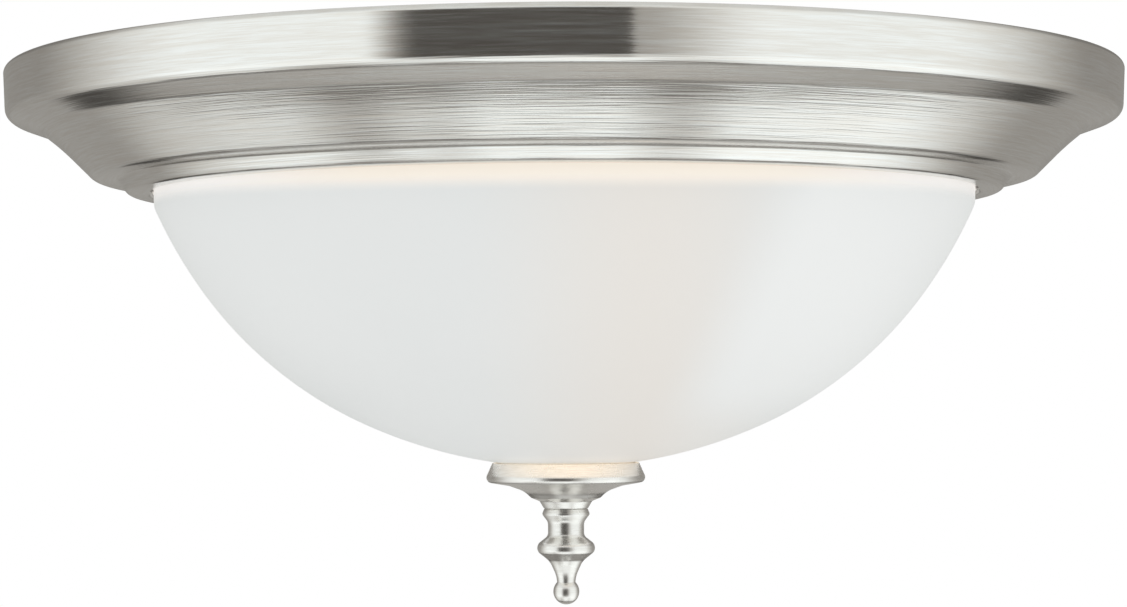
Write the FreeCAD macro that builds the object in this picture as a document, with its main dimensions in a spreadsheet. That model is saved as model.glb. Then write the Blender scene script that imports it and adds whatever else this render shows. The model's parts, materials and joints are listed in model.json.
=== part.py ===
"""Flush mount ceiling light: a spun steel pan, two lamps in holders and an opal glass bowl on a centre rod.

Millimetres, +Z up. The origin is the centre of the ceiling plane, so the whole light lies at z <= 0.
+X runs along the mounting bar and the lamps, -Y faces the viewer.

Every drop in the sheet is a depth below the ceiling plane, and every radius is taken from the rod's axis
or, for the lamps and their holders, from the lamp's own axis.
"""
import FreeCAD, Part
import math
import os
import re
import Sketcher
from FreeCAD import Placement, Rotation, Vector

os.makedirs("parts", exist_ok=True)
doc = FreeCAD.newDocument("ceiling_light")

# ---------------------------------------------------------------- driving dimensions

SIZES = {
    # spun pan, from the ceiling down
    "pan_radius": 165.0,
    "pan_steel": 0.8,
    "ceiling_flange": 9.0,
    "top_round": 1.8,
    "band_drop": 14.3,
    "band_draft": 0.5,
    "band_round": 3.4,
    "cove_top_radius": 154.5,
    "cove_top_drop": 17.8,
    "cove_top_round": 4.5,
    "cove_mid_radius": 148.6,
    "cove_mid_drop": 22.5,
    "cove_mid_round": 16.0,
    "cove_foot_radius": 139.3,
    "cove_foot_round": 4.2,
    "ledge_drop": 31.75,
    "ledge_radius": 132.1,
    "ledge_round": 1.4,
    "lip_radius": 129.6,
    "lip_round": 2.4,
    "pan_drop": 35.7,
    "mouth_radius": 122.6,
    "mouth_round": 1.4,
    "mouth_flange": 4.5,
    # pressed plate inside the pan, sizes of its white underside
    "plate_steel": 0.7,
    "plate_drop": 17.0,
    "plate_radius": 98.0,
    "plate_round": 3.0,
    "seat_drop": 27.5,
    "seat_inner_radius": 112.0,
    "seat_outer_radius": 131.0,
    "flange_inner_radius": 133.2,
    "flange_outer_radius": 137.2,
    "press_round": 1.2,
    # mounting bar and its screws
    "bar_length": 122.0,
    "bar_width": 22.0,
    "bar_steel": 1.9,
    "slot_spacing": 79.4,
    "slot_length": 16.0,
    "slot_radius": 2.3,
    "centre_hole_radius": 5.3,
    "screw_reach": 54.0,
    "screw_radius": 2.05,
    "screw_head_radius": 4.4,
    "screw_head_height": 2.6,
    "key_radius": 5.2,
    "key_offset": 13.0,
    "thread_gap": 0.06,
    # centre rod and what is on it
    "rod_radius": 3.175,
    "rod_top_drop": 8.0,
    "rod_end_drop": 137.2,
    "rod_chamfer": 0.6,
    "nut_flats": 11.1,
    "nut_height": 5.2,
    "washer_radius": 8.0,
    "washer_steel": 0.9,
    "lock_washer_radius": 5.7,
    "lock_washer_steel": 1.3,
    "slide_gap": 0.27,
    # lamp holders
    "lamp_offset": 38.0,
    "lamp_drop": 52.0,
    "holder_back": 79.0,
    "holder_mouth": 35.0,
    "holder_back_radius": 16.4,
    "holder_radius": 18.2,
    "holder_bore_radius": 14.3,
    "holder_floor": 63.5,
    "shell_radius": 14.0,
    "shell_brass": 0.45,
    "contact_width": 6.0,
    "bracket_width": 22.0,
    "bracket_steel": 1.2,
    "bracket_foot": 21.0,
    "bracket_depth": 49.0,
    "rivet_reach": 66.0,
    "rivet_spread": 6.0,
    "rivet_radius": 1.6,
    "rivet_head_radius": 3.1,
    "rivet_head_height": 0.9,
    "holder_screw_spread": 7.5,
    "holder_screw_radius": 1.5,
    "holder_screw_head": 3.2,
    # lamps, measured along the lamp's axis from the rod
    "lamp_contact_reach": 59.0,
    "lamp_contact_radius": 4.6,
    "insulator_reach": 57.6,
    "base_reach": 53.0,
    "base_radius": 13.05,
    "glass_reach": 34.5,
    "bulb_neck_radius": 12.6,
    "bulb_radius": 30.0,
    "bulb_tip": 49.0,
    "bulb_glass": 0.8,
    # wiring
    "bushing_reach": 71.0,
    "bushing_offset": 6.0,
    "bushing_radius": 6.0,
    "bushing_bore_radius": 4.2,
    "lead_radius": 1.1,
    "lead_drop": 8.8,
    "connector_mouth": 20.0,
    "connector_tip": 38.0,
    "connector_radius": 5.6,
    "ground_screw_radius": 1.7,
    "ground_head_radius": 4.0,
    "bar_ground_reach": 22.0,
    "plate_ground_reach": 30.0,
    "plate_ground_offset": 44.0,
    # insulation pad and rim gasket
    "pad_inner_radius": 62.0,
    "pad_outer_radius": 95.0,
    "pad_thickness": 5.6,
    "gasket_inner_radius": 116.6,
    "gasket_outer_radius": 122.9,
    "gasket_thickness": 1.5,
    # opal glass bowl: the corners that its tangent arcs round off
    "bowl_glass": 3.0,
    "bowl_foot_drop": 116.9,
    "bowl_toe_radius": 28.3,
    "bowl_toe_round": 142.0,
    "bowl_knee_radius": 89.1,
    "bowl_knee_drop": 92.1,
    "bowl_knee_round": 120.5,
    "bowl_hip_radius": 116.5,
    "bowl_hip_drop": 51.4,
    "bowl_hip_round": 136.0,
    "bowl_neck_radius": 121.9,
    "bowl_neck_drop": 39.4,
    "bowl_hole_radius": 6.6,
    # grommet, cap and finial under the bowl
    "grommet_radius": 11.0,
    "cap_brass": 1.0,
    "cap_rim_radius": 22.0,
    "cap_rim_drop": 115.6,
    "cap_radius": 24.5,
    "cap_floor_drop": 121.2,
    "cap_flare_radius": 17.1,
    "cap_flare_drop": 122.45,
    "cap_neck_radius": 12.5,
    "cap_neck_drop": 124.1,
    "cap_step_radius": 10.4,
    "cap_step_drop": 126.1,
    "cap_foot_radius": 6.6,
    "cap_foot_drop": 129.3,
    "finial_top_drop": 129.35,
    "finial_collar_radius": 7.2,
    "finial_waist_radius": 5.4,
    "finial_bead_radius": 8.7,
    "finial_bead_drop": 141.3,
    "finial_neck_radius": 2.75,
    "finial_ball_radius": 3.9,
    "finial_ball_drop": 154.2,
    "finial_bore_end": 139.2,
}

sheet = doc.addObject("Spreadsheet::Sheet", "Sizes")
for row, (alias, size) in enumerate(SIZES.items(), start=1):
    sheet.set(f"A{row}", alias)
    sheet.set(f"B{row}", str(size))
    sheet.setAlias(f"B{row}", alias)
doc.recompute()


def bound(text):
    """The expression for a size, with each word of the sheet pointed at its cell."""
    return re.sub(r"[a-z_]+", lambda word: f"Sizes.{word[0]}" if word[0] in SIZES else word[0], str(text))


def value(text):
    """The number that an expression gives now."""
    result = sheet.evalExpression(bound(text))
    return float(getattr(result, "Value", result))


# ---------------------------------------------------------------- drawing helpers

PARTS = []
FULL_TURN = 360
HALF_TURN = 180
NEAR = 1e-6


def new_body(label):
    """A body of its own for one sub-part. It may hold several equal solids, such as a pair of screws."""
    body = doc.addObject("PartDesign::Body", label)
    body.Label = label
    body.AllowCompound = True
    PARTS.append(body)
    return body


def origin_feature(body, role):
    return next(feature for feature in body.Origin.OriginFeatures if feature.Role == role)


def new_sketch(body, name, role, at):
    """A sketch on one of the body's own planes, moved by at (across, up, along the plane's normal)."""
    sketch = body.newObject("Sketcher::SketchObject", name)
    sketch.AttachmentSupport = (origin_feature(body, role), "")
    sketch.MapMode = "FlatFace"
    sketch.AttachmentOffset = Placement(Vector(*(value(part) for part in at)), Rotation())
    for axis, part in zip("xyz", at):
        sketch.setExpression(f".AttachmentOffset.Base.{axis}", bound(part))
    return sketch


def tie(sketch, kind, items, text):
    """A dimension in a sketch that follows the sheet."""
    index = sketch.addConstraint(Sketcher.Constraint(kind, *items, value(text)))
    sketch.setExpression(f"Constraints[{index}]", bound(text))


def rounded(before, corner, after, radius):
    """Start, middle and end of the arc of that radius that rounds off a corner."""
    back = (before - corner).normalize()
    ahead = (after - corner).normalize()
    half = back.getAngle(ahead) / 2
    reach = radius / math.tan(half)
    inward = (back + ahead).normalize()
    centre = corner + inward * (radius / math.sin(half))
    return corner + back * reach, centre - inward * radius, corner + ahead * reach


def outline(sketch, corners):
    """A closed outline through corners (across, up, optional rounding), all of them held by the sheet."""
    count = len(corners)
    points = [Vector(value(corner[0]), value(corner[1]), 0) for corner in corners]
    radii = [value(corner[2]) if len(corner) > 2 else 0 for corner in corners]
    turns = []
    for index, (point, radius) in enumerate(zip(points, radii)):
        if radius:
            turns.append(rounded(points[index - 1], point, points[(index + 1) % count], radius))
        else:
            turns.append((point, point, point))
    sides = []
    for index in range(count):
        start, end = turns[index][2], turns[(index + 1) % count][0]
        sides.append(sketch.addGeometry(Part.LineSegment(start, end), False))
    for index, corner in enumerate(corners):
        before, after = sides[index - 1], sides[index]
        if radii[index]:
            arc = sketch.addGeometry(Part.Arc(*turns[index]), False)
            first = 1 if sketch.getPoint(arc, 1).distanceToPoint(turns[index][0]) < NEAR else 2
            sketch.addConstraint(Sketcher.Constraint("Tangent", before, 2, arc, first))
            sketch.addConstraint(Sketcher.Constraint("Tangent", arc, 3 - first, after, 1))
            tie(sketch, "Radius", [arc], corner[2])
            mark = sketch.addGeometry(Part.Point(points[index]), True)
            sketch.addConstraint(Sketcher.Constraint("PointOnObject", mark, 1, before))
            sketch.addConstraint(Sketcher.Constraint("PointOnObject", mark, 1, after))
        else:
            sketch.addConstraint(Sketcher.Constraint("Coincident", before, 2, after, 1))
            mark = after
        tie(sketch, "DistanceX", [-1, 1, mark, 1], corner[0])
        tie(sketch, "DistanceY", [-1, 1, mark, 1], corner[1])
    return sketch


def circles(sketch, places):
    """Circles at places (across, up, radius), held by the sheet."""
    for across, up, radius in places:
        centre = Vector(value(across), value(up), 0)
        ring = sketch.addGeometry(Part.Circle(centre, Vector(0, 0, 1), value(radius)), False)
        tie(sketch, "DistanceX", [-1, 1, ring, 3], across)
        tie(sketch, "DistanceY", [-1, 1, ring, 3], up)
        tie(sketch, "Radius", [ring], radius)
    return sketch


def revolve(body, name, sketch, axis):
    """A full turn of the sketch about its own upright (V_Axis) or level (H_Axis) axis."""
    feature = body.newObject("PartDesign::Revolution", name)
    feature.Profile = sketch
    feature.ReferenceAxis = (sketch, [axis])
    feature.Angle = FULL_TURN
    return feature


def turned(body, name, corners, at=(0, 0, 0)):
    """A solid turned about an upright axis; the corners are (radius, height)."""
    return revolve(body, name, outline(new_sketch(body, f"{name}_outline", "XZ_Plane", at), corners), "V_Axis")


def lathed(body, name, corners, at):
    """A solid turned about a level axis along X; the corners are (place along X, radius)."""
    return revolve(body, name, outline(new_sketch(body, f"{name}_outline", "XZ_Plane", at), corners), "H_Axis")


def pad(body, name, sketch, length):
    feature = body.newObject("PartDesign::Pad", name)
    feature.Profile = sketch
    feature.setExpression("Length", bound(length))
    return feature


def pocket(body, name, sketch, length):
    """Cut below the sketch, and make sure that the cut took something away."""
    doc.recompute()
    before = body.Shape.Volume
    feature = body.newObject("PartDesign::Pocket", name)
    feature.Profile = sketch
    feature.setExpression("Length", bound(length))
    doc.recompute()
    if body.Shape.Volume > before - NEAR:
        raise ValueError(f"{name} cuts nothing")
    return feature


def holes(body, name, places, top, depth):
    """Upright round holes at places (x, y, radius), from the height top down."""
    return pocket(body, name, circles(new_sketch(body, f"{name}_sketch", "XY_Plane", (0, 0, top)), places), depth)


def shelled(body, name, feature, wall, is_open):
    """The feature's faces as sheet of one thickness, without the faces that is_open picks."""
    doc.recompute()
    faces = [f"Face{number}" for number, face in enumerate(feature.Shape.Faces, start=1) if is_open(face)]
    shell = body.newObject("PartDesign::Thickness", name)
    shell.Base = (feature, faces)
    shell.Mode = 0
    shell.Join = 0
    shell.Reversed = True
    shell.setExpression("Value", bound(wall))
    return shell


def paired(body, features, turns=2):
    """The same features again half a turn about the rod's axis away."""
    pattern = body.newObject("PartDesign::PolarPattern", f"{body.Label}_pattern")
    pattern.Originals = features
    pattern.Axis = (origin_feature(body, "Z_Axis"), [""])
    pattern.Angle = FULL_TURN
    pattern.Occurrences = turns
    body.Tip = pattern
    return pattern


def level_face_at(height):
    """Picks the flat faces at one height."""
    return lambda face: face.Surface.TypeId == "Part::GeomPlane" and abs(face.CenterOfMass.z - height) < NEAR * 10


# ---------------------------------------------------------------- pan

def decorative_pan():
    """Spun ring: flange on the ceiling, band, rounded corner, sloping cove, ledge and a turned-in lip."""
    body = new_body("decorative_pan")
    solid = turned(body, "pan", [
        ("pan_radius - ceiling_flange", 0),
        ("pan_radius", 0, "top_round"),
        ("pan_radius - band_draft", "-band_drop", "band_round"),
        ("cove_top_radius", "-cove_top_drop", "cove_top_round"),
        ("cove_mid_radius", "-cove_mid_drop", "cove_mid_round"),
        ("cove_foot_radius", "-ledge_drop", "cove_foot_round"),
        ("ledge_radius", "-ledge_drop", "ledge_round"),
        ("lip_radius", "-pan_drop", "lip_round"),
        ("mouth_radius", "-pan_drop", "mouth_round"),
        ("mouth_radius", "mouth_flange - pan_drop"),
    ])
    doc.recompute()
    inner_cone = max(solid.Shape.Faces, key=lambda face: face.Area)
    shelled(body, "pan_sheet", solid, "pan_steel", lambda face: face.isSame(inner_cone))


# ---------------------------------------------------------------- plate that carries the holders

SIDES = (1, -1)
RIVET_HOLE = "rivet_radius + 0.05"
RIVET_ROWS = ("lamp_offset - rivet_spread", "lamp_offset + rivet_spread")


def both_ways(across, up, radius):
    """One round hole and its partner half a turn about the rod away."""
    return [(f"{side} * ({across})", f"{side} * ({up})", radius) for side in SIDES]


def bushing_places(radius):
    return both_ways("-bushing_reach", "-bushing_offset", radius)


def rivet_places(radius):
    return [place for up in RIVET_ROWS for place in both_ways("-rivet_reach", f"-({up})", radius)]


def holder_plate():
    """Pressed plate: raised middle for the wiring, step for the glass rim, flange welded to the pan's ledge."""
    body = new_body("holder_plate")
    flange_drop = "ledge_drop - pan_steel"
    top = -1.0
    solid = turned(body, "plate", [
        (0, "-plate_drop"),
        ("plate_radius", "-plate_drop", "plate_round"),
        ("seat_inner_radius", "-seat_drop", "plate_round"),
        ("seat_outer_radius", "-seat_drop", "press_round"),
        ("flange_inner_radius", f"-({flange_drop})", "press_round"),
        ("flange_outer_radius", f"-({flange_drop})"),
        ("flange_outer_radius", top),
        (0, top),
    ])

    def is_open(face):
        outside = face.Surface.TypeId == "Part::GeomCylinder"
        return outside or level_face_at(top)(face)

    shelled(body, "plate_sheet", solid, "plate_steel", is_open)
    through = "2 * plate_steel + 1"
    above = "-plate_drop + plate_steel + 1"
    places = [(0, 0, "rod_radius + slide_gap")]
    places += bushing_places("bushing_radius")
    places += rivet_places(RIVET_HOLE)
    places += [("plate_ground_reach", "-plate_ground_offset", "ground_screw_radius + thread_gap")]
    places += both_ways("screw_reach", "key_offset", "key_radius")
    holes(body, "plate_holes", places, above, through)
    for side, name in zip(SIDES, ("near", "far")):
        slot = outline(new_sketch(body, f"key_{name}_sketch", "XY_Plane", (0, 0, above)), [
            (f"{side} * (screw_reach - screw_radius) - {side} * 0.35", f"{side} * (0 - screw_radius - 0.35)", 2.2),
            (f"{side} * (screw_reach + screw_radius) + {side} * 0.35", f"{side} * (0 - screw_radius - 0.35)", 2.2),
            (f"{side} * (screw_reach + screw_radius) + {side} * 0.35", f"{side} * key_offset"),
            (f"{side} * (screw_reach - screw_radius) - {side} * 0.35", f"{side} * key_offset"),
        ])
        pocket(body, f"key_{name}", slot, through)


# ---------------------------------------------------------------- mounting bar and screws

def rounded_slot(sketch, middle, length, radius):
    """A slot along X with round ends."""
    ends = f"({length}) / 2 - ({radius})"
    left = Vector(value(f"{middle} - ({ends})"), 0, 0)
    right = Vector(value(f"{middle} + ({ends})"), 0, 0)
    up = Vector(0, value(radius), 0)
    out = Vector(value(radius), 0, 0)
    top = sketch.addGeometry(Part.LineSegment(left + up, right + up), False)
    bottom = sketch.addGeometry(Part.LineSegment(right - up, left - up), False)
    nose = sketch.addGeometry(Part.Arc(right - up, right + out, right + up), False)
    tail = sketch.addGeometry(Part.Arc(left + up, left - out, left - up), False)
    sketch.addConstraint(Sketcher.Constraint("Tangent", top, 2, nose, 2))
    sketch.addConstraint(Sketcher.Constraint("Tangent", nose, 1, bottom, 1))
    sketch.addConstraint(Sketcher.Constraint("Tangent", bottom, 2, tail, 2))
    sketch.addConstraint(Sketcher.Constraint("Coincident", tail, 1, top, 1))
    tie(sketch, "DistanceX", [-1, 1, nose, 3], f"{middle} + ({ends})")
    tie(sketch, "DistanceX", [-1, 1, tail, 3], f"{middle} - ({ends})")
    tie(sketch, "Radius", [nose], radius)
    sketch.addConstraint(Sketcher.Constraint("PointOnObject", nose, 3, -1))
    sketch.addConstraint(Sketcher.Constraint("PointOnObject", tail, 3, -1))


def mounting_bar():
    """Flat bar that is screwed to the ceiling box: two slots, a centre hole and three tapped holes."""
    body = new_body("mounting_bar")
    sketch = outline(new_sketch(body, "bar_sketch", "XY_Plane", (0, 0, "-bar_steel")), [
        ("-bar_length / 2", "-bar_width / 2", 5),
        ("bar_length / 2", "-bar_width / 2", 5),
        ("bar_length / 2", "bar_width / 2", 5),
        ("-bar_length / 2", "bar_width / 2", 5),
    ])
    pad(body, "bar", sketch, "bar_steel")
    tapped = "screw_radius + thread_gap"
    places = [(0, 0, "centre_hole_radius"), ("bar_ground_reach", 0, "ground_screw_radius + thread_gap")]
    places += both_ways("screw_reach", 0, tapped)
    holes(body, "bar_holes", places, 0, "bar_steel")
    slots = new_sketch(body, "slots_sketch", "XY_Plane", (0, 0, 0))
    for side in SIDES:
        rounded_slot(slots, f"{side} * slot_spacing / 2", "slot_length", "slot_radius")
    pocket(body, "bar_slots", slots, "bar_steel")


def mounting_screws():
    """Pan-head screws under the plate's keyholes, threaded up into the bar."""
    body = new_body("mounting_screws")
    head = "-plate_drop - screw_head_height"
    screw = turned(body, "screw", [
        (0, head),
        ("screw_head_radius", head, 1.6),
        ("screw_head_radius", "-plate_drop"),
        ("screw_radius", "-plate_drop"),
        ("screw_radius", -0.7),
        ("screw_radius - 0.4", -0.3),
        (0, -0.3),
    ], at=("screw_reach", 0, 0))
    paired(body, [screw])


def ground_screws():
    """Green hex-washer screws: one under the bar, one on top of the plate."""
    body = new_body("ground_screws")
    turned(body, "bar_ground", [
        (0, "-bar_steel - 3"),
        ("ground_head_radius - 0.6", "-bar_steel - 3", 0.6),
        ("ground_head_radius - 0.6", "-bar_steel - 0.9"),
        ("ground_head_radius", "-bar_steel - 0.9"),
        ("ground_head_radius", "-bar_steel"),
        ("ground_screw_radius", "-bar_steel"),
        ("ground_screw_radius", -0.2),
        (0, -0.2),
    ], at=("bar_ground_reach", 0, 0))
    turned(body, "plate_ground", [
        (0, "-plate_drop - 2"),
        ("ground_screw_radius", "-plate_drop - 2"),
        ("ground_screw_radius", "-plate_drop + plate_steel"),
        ("ground_head_radius", "-plate_drop + plate_steel"),
        ("ground_head_radius", "-plate_drop + plate_steel + 0.9"),
        ("ground_head_radius - 0.6", "-plate_drop + plate_steel + 0.9"),
        ("ground_head_radius - 0.6", "-plate_drop + plate_steel + 3", 0.6),
        (0, "-plate_drop + plate_steel + 3"),
    ], at=("plate_ground_reach", 0, "plate_ground_offset"))


# ---------------------------------------------------------------- centre rod

def centre_rod():
    """Threaded rod from the plate down through the bowl to the finial."""
    turned(new_body("centre_rod"), "rod", [
        (0, "-rod_end_drop"),
        ("rod_radius - rod_chamfer", "-rod_end_drop"),
        ("rod_radius", "rod_chamfer - rod_end_drop"),
        ("rod_radius", "-rod_top_drop - rod_chamfer"),
        ("rod_radius - rod_chamfer", "-rod_top_drop"),
        (0, "-rod_top_drop"),
    ])


NUT_CORNERS = 6


def rod_nuts():
    """Two hex nuts that clamp the rod to the plate."""
    body = new_body("rod_nuts")
    lower = "-plate_drop - washer_steel - nut_height"
    upper = "-plate_drop + plate_steel + lock_washer_steel"
    step = 2 * math.pi / NUT_CORNERS
    hexagon = []
    for number in range(NUT_CORNERS):
        across = round(math.cos(number * step) / math.cos(step / 2) / 2, 6)
        up = round(math.sin(number * step) / math.cos(step / 2) / 2, 6)
        hexagon.append((f"nut_flats * {across}", f"nut_flats * {up}"))
    for name, height in (("lower_nut", lower), ("upper_nut", upper)):
        sketch = outline(new_sketch(body, f"{name}_sketch", "XY_Plane", (0, 0, height)), hexagon)
        circles(sketch, [(0, 0, "rod_radius + thread_gap")])
        pad(body, name, sketch, "nut_height")


def rod_washer():
    """Flat washer between the plate and the lower nut."""
    turned(new_body("rod_washer"), "washer", [
        ("rod_radius + thread_gap", "-plate_drop - washer_steel"),
        ("washer_radius", "-plate_drop - washer_steel", 0.3),
        ("washer_radius", "-plate_drop"),
        ("rod_radius + thread_gap", "-plate_drop"),
    ])


def lock_washer():
    """Split spring washer under the upper nut."""
    body = new_body("lock_washer")
    seat = "-plate_drop + plate_steel"
    turned(body, "ring", [
        ("rod_radius + thread_gap", seat),
        ("lock_washer_radius", seat),
        ("lock_washer_radius", f"{seat} + lock_washer_steel"),
        ("rod_radius + thread_gap", f"{seat} + lock_washer_steel"),
    ])
    gap = outline(new_sketch(body, "split_sketch", "XY_Plane", (0, 0, f"{seat} + lock_washer_steel")), [
        (-0.2, 2),
        (0.9, 2),
        (0.2, 7),
        (-0.9, 7),
    ])
    pocket(body, "split", gap, "lock_washer_steel")


# ---------------------------------------------------------------- lamp holders, drawn on the near lamp's axis

NEAR_AXIS = (0, "-lamp_drop", "lamp_offset")
HOLDERS = (("left", 0), ("right", HALF_TURN))
LEAD_HOLES = (69.5, 74.0)


def seated(body, turn):
    """Turn a finished holder or lamp piece about the rod to its own side."""
    body.Placement = Placement(Vector(0, 0, 0), Rotation(Vector(0, 0, 1), turn))


def across_hole(body, name, role, places, start, depth):
    """Round holes square to a side plane, cut towards the plane's back."""
    pocket(body, name, circles(new_sketch(body, f"{name}_sketch", role, (0, 0, start)), places), depth)


def lamp_holder(side, turn):
    """Moulded holder: thick back with two lead holes and two screw holes, barrel with a rolled mouth."""
    body = new_body(f"lamp_holder_{side}")
    lathed(body, "holder", [
        ("-holder_back", 0),
        ("-holder_back", "holder_back_radius", 1.6),
        ("-holder_floor + 3", "holder_back_radius", 1.0),
        ("-holder_floor + 5", "holder_radius", 1.0),
        ("-holder_mouth", "holder_radius", 1.2),
        ("-holder_mouth", "holder_bore_radius", 0.8),
        ("-holder_floor", "holder_bore_radius"),
        ("-holder_floor", 0),
    ], NEAR_AXIS)
    leads = [(f"-{reach}", "-lamp_drop", "lead_radius + 0.1") for reach in LEAD_HOLES]
    across_hole(body, "lead_holes", "XZ_Plane", leads, "lamp_offset - holder_back_radius - 1", -5)
    screws = [(f"-lamp_offset + {way} * holder_screw_spread", "-lamp_drop", "holder_screw_radius + 0.05")
              for way in SIDES]
    across_hole(body, "screw_holes", "YZ_Plane", screws, "-holder_back", -7)
    seated(body, turn)


def screw_shell(side, turn):
    """Thin brass shell inside the holder that the lamp base screws into."""
    body = new_body(f"screw_shell_{side}")
    inside = "shell_radius - shell_brass"
    lathed(body, "shell", [
        ("-holder_floor + 0.6", 9.5),
        ("-holder_floor + 0.6", "shell_radius", 1.0),
        ("-holder_mouth - 2", "shell_radius"),
        ("-holder_mouth - 2", inside),
        ("-holder_floor + 0.6 + shell_brass", inside, 0.6),
        ("-holder_floor + 0.6 + shell_brass", 9.5),
    ], NEAR_AXIS)
    seated(body, turn)


def centre_contact(side, turn):
    """Bent brass leaf on the holder's floor."""
    body = new_body(f"centre_contact_{side}")
    normal = "lamp_offset - contact_width / 2"
    leaf = outline(new_sketch(body, "leaf_sketch", "XZ_Plane", (0, "-lamp_drop", normal)), [
        ("-holder_floor", -7.5),
        ("-holder_floor + 0.5", -7.5),
        ("-holder_floor + 0.5", -1.5, 0.5),
        ("-lamp_contact_reach - 0.9", 0.6, 0.5),
        ("-lamp_contact_reach - 0.9", 3.0),
        ("-lamp_contact_reach - 1.4", 3.0),
        ("-lamp_contact_reach - 1.4", 0.9, 0.5),
        ("-holder_floor", -1.2),
    ])
    pad(body, "leaf", leaf, "contact_width")
    seated(body, turn)


def holder_bracket(side, turn):
    """Bent steel strap: foot riveted under the plate, leg down behind the holder."""
    body = new_body(f"holder_bracket_{side}")
    back = "-holder_back"
    normal = "lamp_offset - bracket_width / 2"
    strap = outline(new_sketch(body, "strap_sketch", "XZ_Plane", (0, 0, normal)), [
        (f"{back} + bracket_foot", "-plate_drop"),
        (f"{back} - bracket_steel", "-plate_drop", 2.6),
        (f"{back} - bracket_steel", "-plate_drop - bracket_depth"),
        (back, "-plate_drop - bracket_depth"),
        (back, "-plate_drop - bracket_steel", 1.4),
        (f"{back} + bracket_foot", "-plate_drop - bracket_steel"),
    ])
    pad(body, "strap", strap, "bracket_width")
    rivets = [("-rivet_reach", f"-({up})", RIVET_HOLE) for up in RIVET_ROWS]
    holes(body, "foot_holes", rivets, "-plate_drop", "bracket_steel + 0.1")
    screws = [(f"-lamp_offset + {way} * holder_screw_spread", "-lamp_drop", "holder_screw_radius + 0.1")
              for way in SIDES]
    across_hole(body, "leg_holes", "YZ_Plane", screws, f"{back} - bracket_steel - 0.1", -1.5)
    doc.recompute()
    lowest = "-plate_drop - bracket_depth"
    leg_corners = [f"Edge{number}" for number, edge in enumerate(body.Shape.Edges, start=1)
                   if abs(edge.Length - value("bracket_steel")) < NEAR
                   and abs(edge.CenterOfMass.z - value(lowest)) < NEAR]
    drilled = body.Tip
    rounding = body.newObject("PartDesign::Fillet", "leg_rounding")
    rounding.Base = (drilled, leg_corners)
    rounding.Radius = 7
    seated(body, turn)


def bracket_rivets():
    """Rivets through the bracket feet and the plate."""
    body = new_body("bracket_rivets")
    upper = "-plate_drop + plate_steel"
    lower = "-plate_drop - bracket_steel"
    rivets = []
    for number, up in enumerate(RIVET_ROWS, start=1):
        rivets.append(turned(body, f"rivet_{number}", [
            (0, f"{lower} - rivet_head_height"),
            ("rivet_head_radius", f"{lower} - rivet_head_height", 0.7),
            ("rivet_head_radius", lower),
            ("rivet_radius", lower),
            ("rivet_radius", upper),
            ("rivet_head_radius - 0.3", upper),
            ("rivet_head_radius - 0.3", f"{upper} + rivet_head_height - 0.1", 0.6),
            (0, f"{upper} + rivet_head_height - 0.1"),
        ], at=("-rivet_reach", 0, up)))
    paired(body, rivets)


def holder_screws():
    """Screws through the bracket legs into the backs of the holders."""
    body = new_body("holder_screws")
    leg = "-holder_back - bracket_steel"
    screws = []
    for number, way in enumerate(SIDES, start=1):
        screws.append(lathed(body, f"screw_{number}", [
            (f"{leg} - 2", 0),
            (f"{leg} - 2", "holder_screw_head", 1.2),
            (leg, "holder_screw_head"),
            (leg, "holder_screw_radius"),
            ("-holder_back + 6", "holder_screw_radius"),
            ("-holder_back + 6.8", 0.6),
            ("-holder_back + 6.8", 0),
        ], (0, "-lamp_drop", f"lamp_offset + {way} * holder_screw_spread")))
    paired(body, screws)


# ---------------------------------------------------------------- lamps

def lamp_bulb(side, turn):
    """Pear-shaped glass: neck, flare and a round end, blown to one thickness."""
    body = new_body(f"lamp_bulb_{side}")
    solid = lathed(body, "bulb", [
        ("-glass_reach", 0),
        ("-glass_reach", "bulb_neck_radius"),
        ("-glass_reach + 14", "bulb_neck_radius + 1", 28),
        ("bulb_tip - 40", "bulb_radius", 30),
        ("bulb_tip", "bulb_radius", "bulb_radius - 0.5"),
        ("bulb_tip", 0),
    ], NEAR_AXIS)
    neck = value("-glass_reach")
    shelled(body, "bulb_wall", solid, "bulb_glass",
            lambda face: face.Surface.TypeId == "Part::GeomPlane" and abs(face.CenterOfMass.x - neck) < 0.01)
    seated(body, turn)


def lamp_base(side, turn):
    """Screw base of the lamp."""
    body = new_body(f"lamp_base_{side}")
    lathed(body, "base", [
        ("-base_reach", 0),
        ("-base_reach", 8.8),
        ("-base_reach + 2.6", "base_radius", 1.2),
        ("-glass_reach", "base_radius", 0.4),
        ("-glass_reach", 0),
    ], NEAR_AXIS)
    seated(body, turn)


def lamp_insulator(side, turn):
    """Dark glass button between the base and its contact."""
    body = new_body(f"lamp_insulator_{side}")
    lathed(body, "insulator", [
        ("-insulator_reach", 0),
        ("-insulator_reach", "lamp_contact_radius + 0.6", 0.4),
        ("-base_reach", 8.6),
        ("-base_reach", 0),
    ], NEAR_AXIS)
    seated(body, turn)


def lamp_contact(side, turn):
    """Solder button at the very end of the base."""
    body = new_body(f"lamp_contact_{side}")
    lathed(body, "contact", [
        ("-lamp_contact_reach", 0),
        ("-lamp_contact_reach", "lamp_contact_radius", 1.2),
        ("-insulator_reach", "lamp_contact_radius"),
        ("-insulator_reach", 0),
    ], NEAR_AXIS)
    seated(body, turn)


# ---------------------------------------------------------------- wiring

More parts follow.
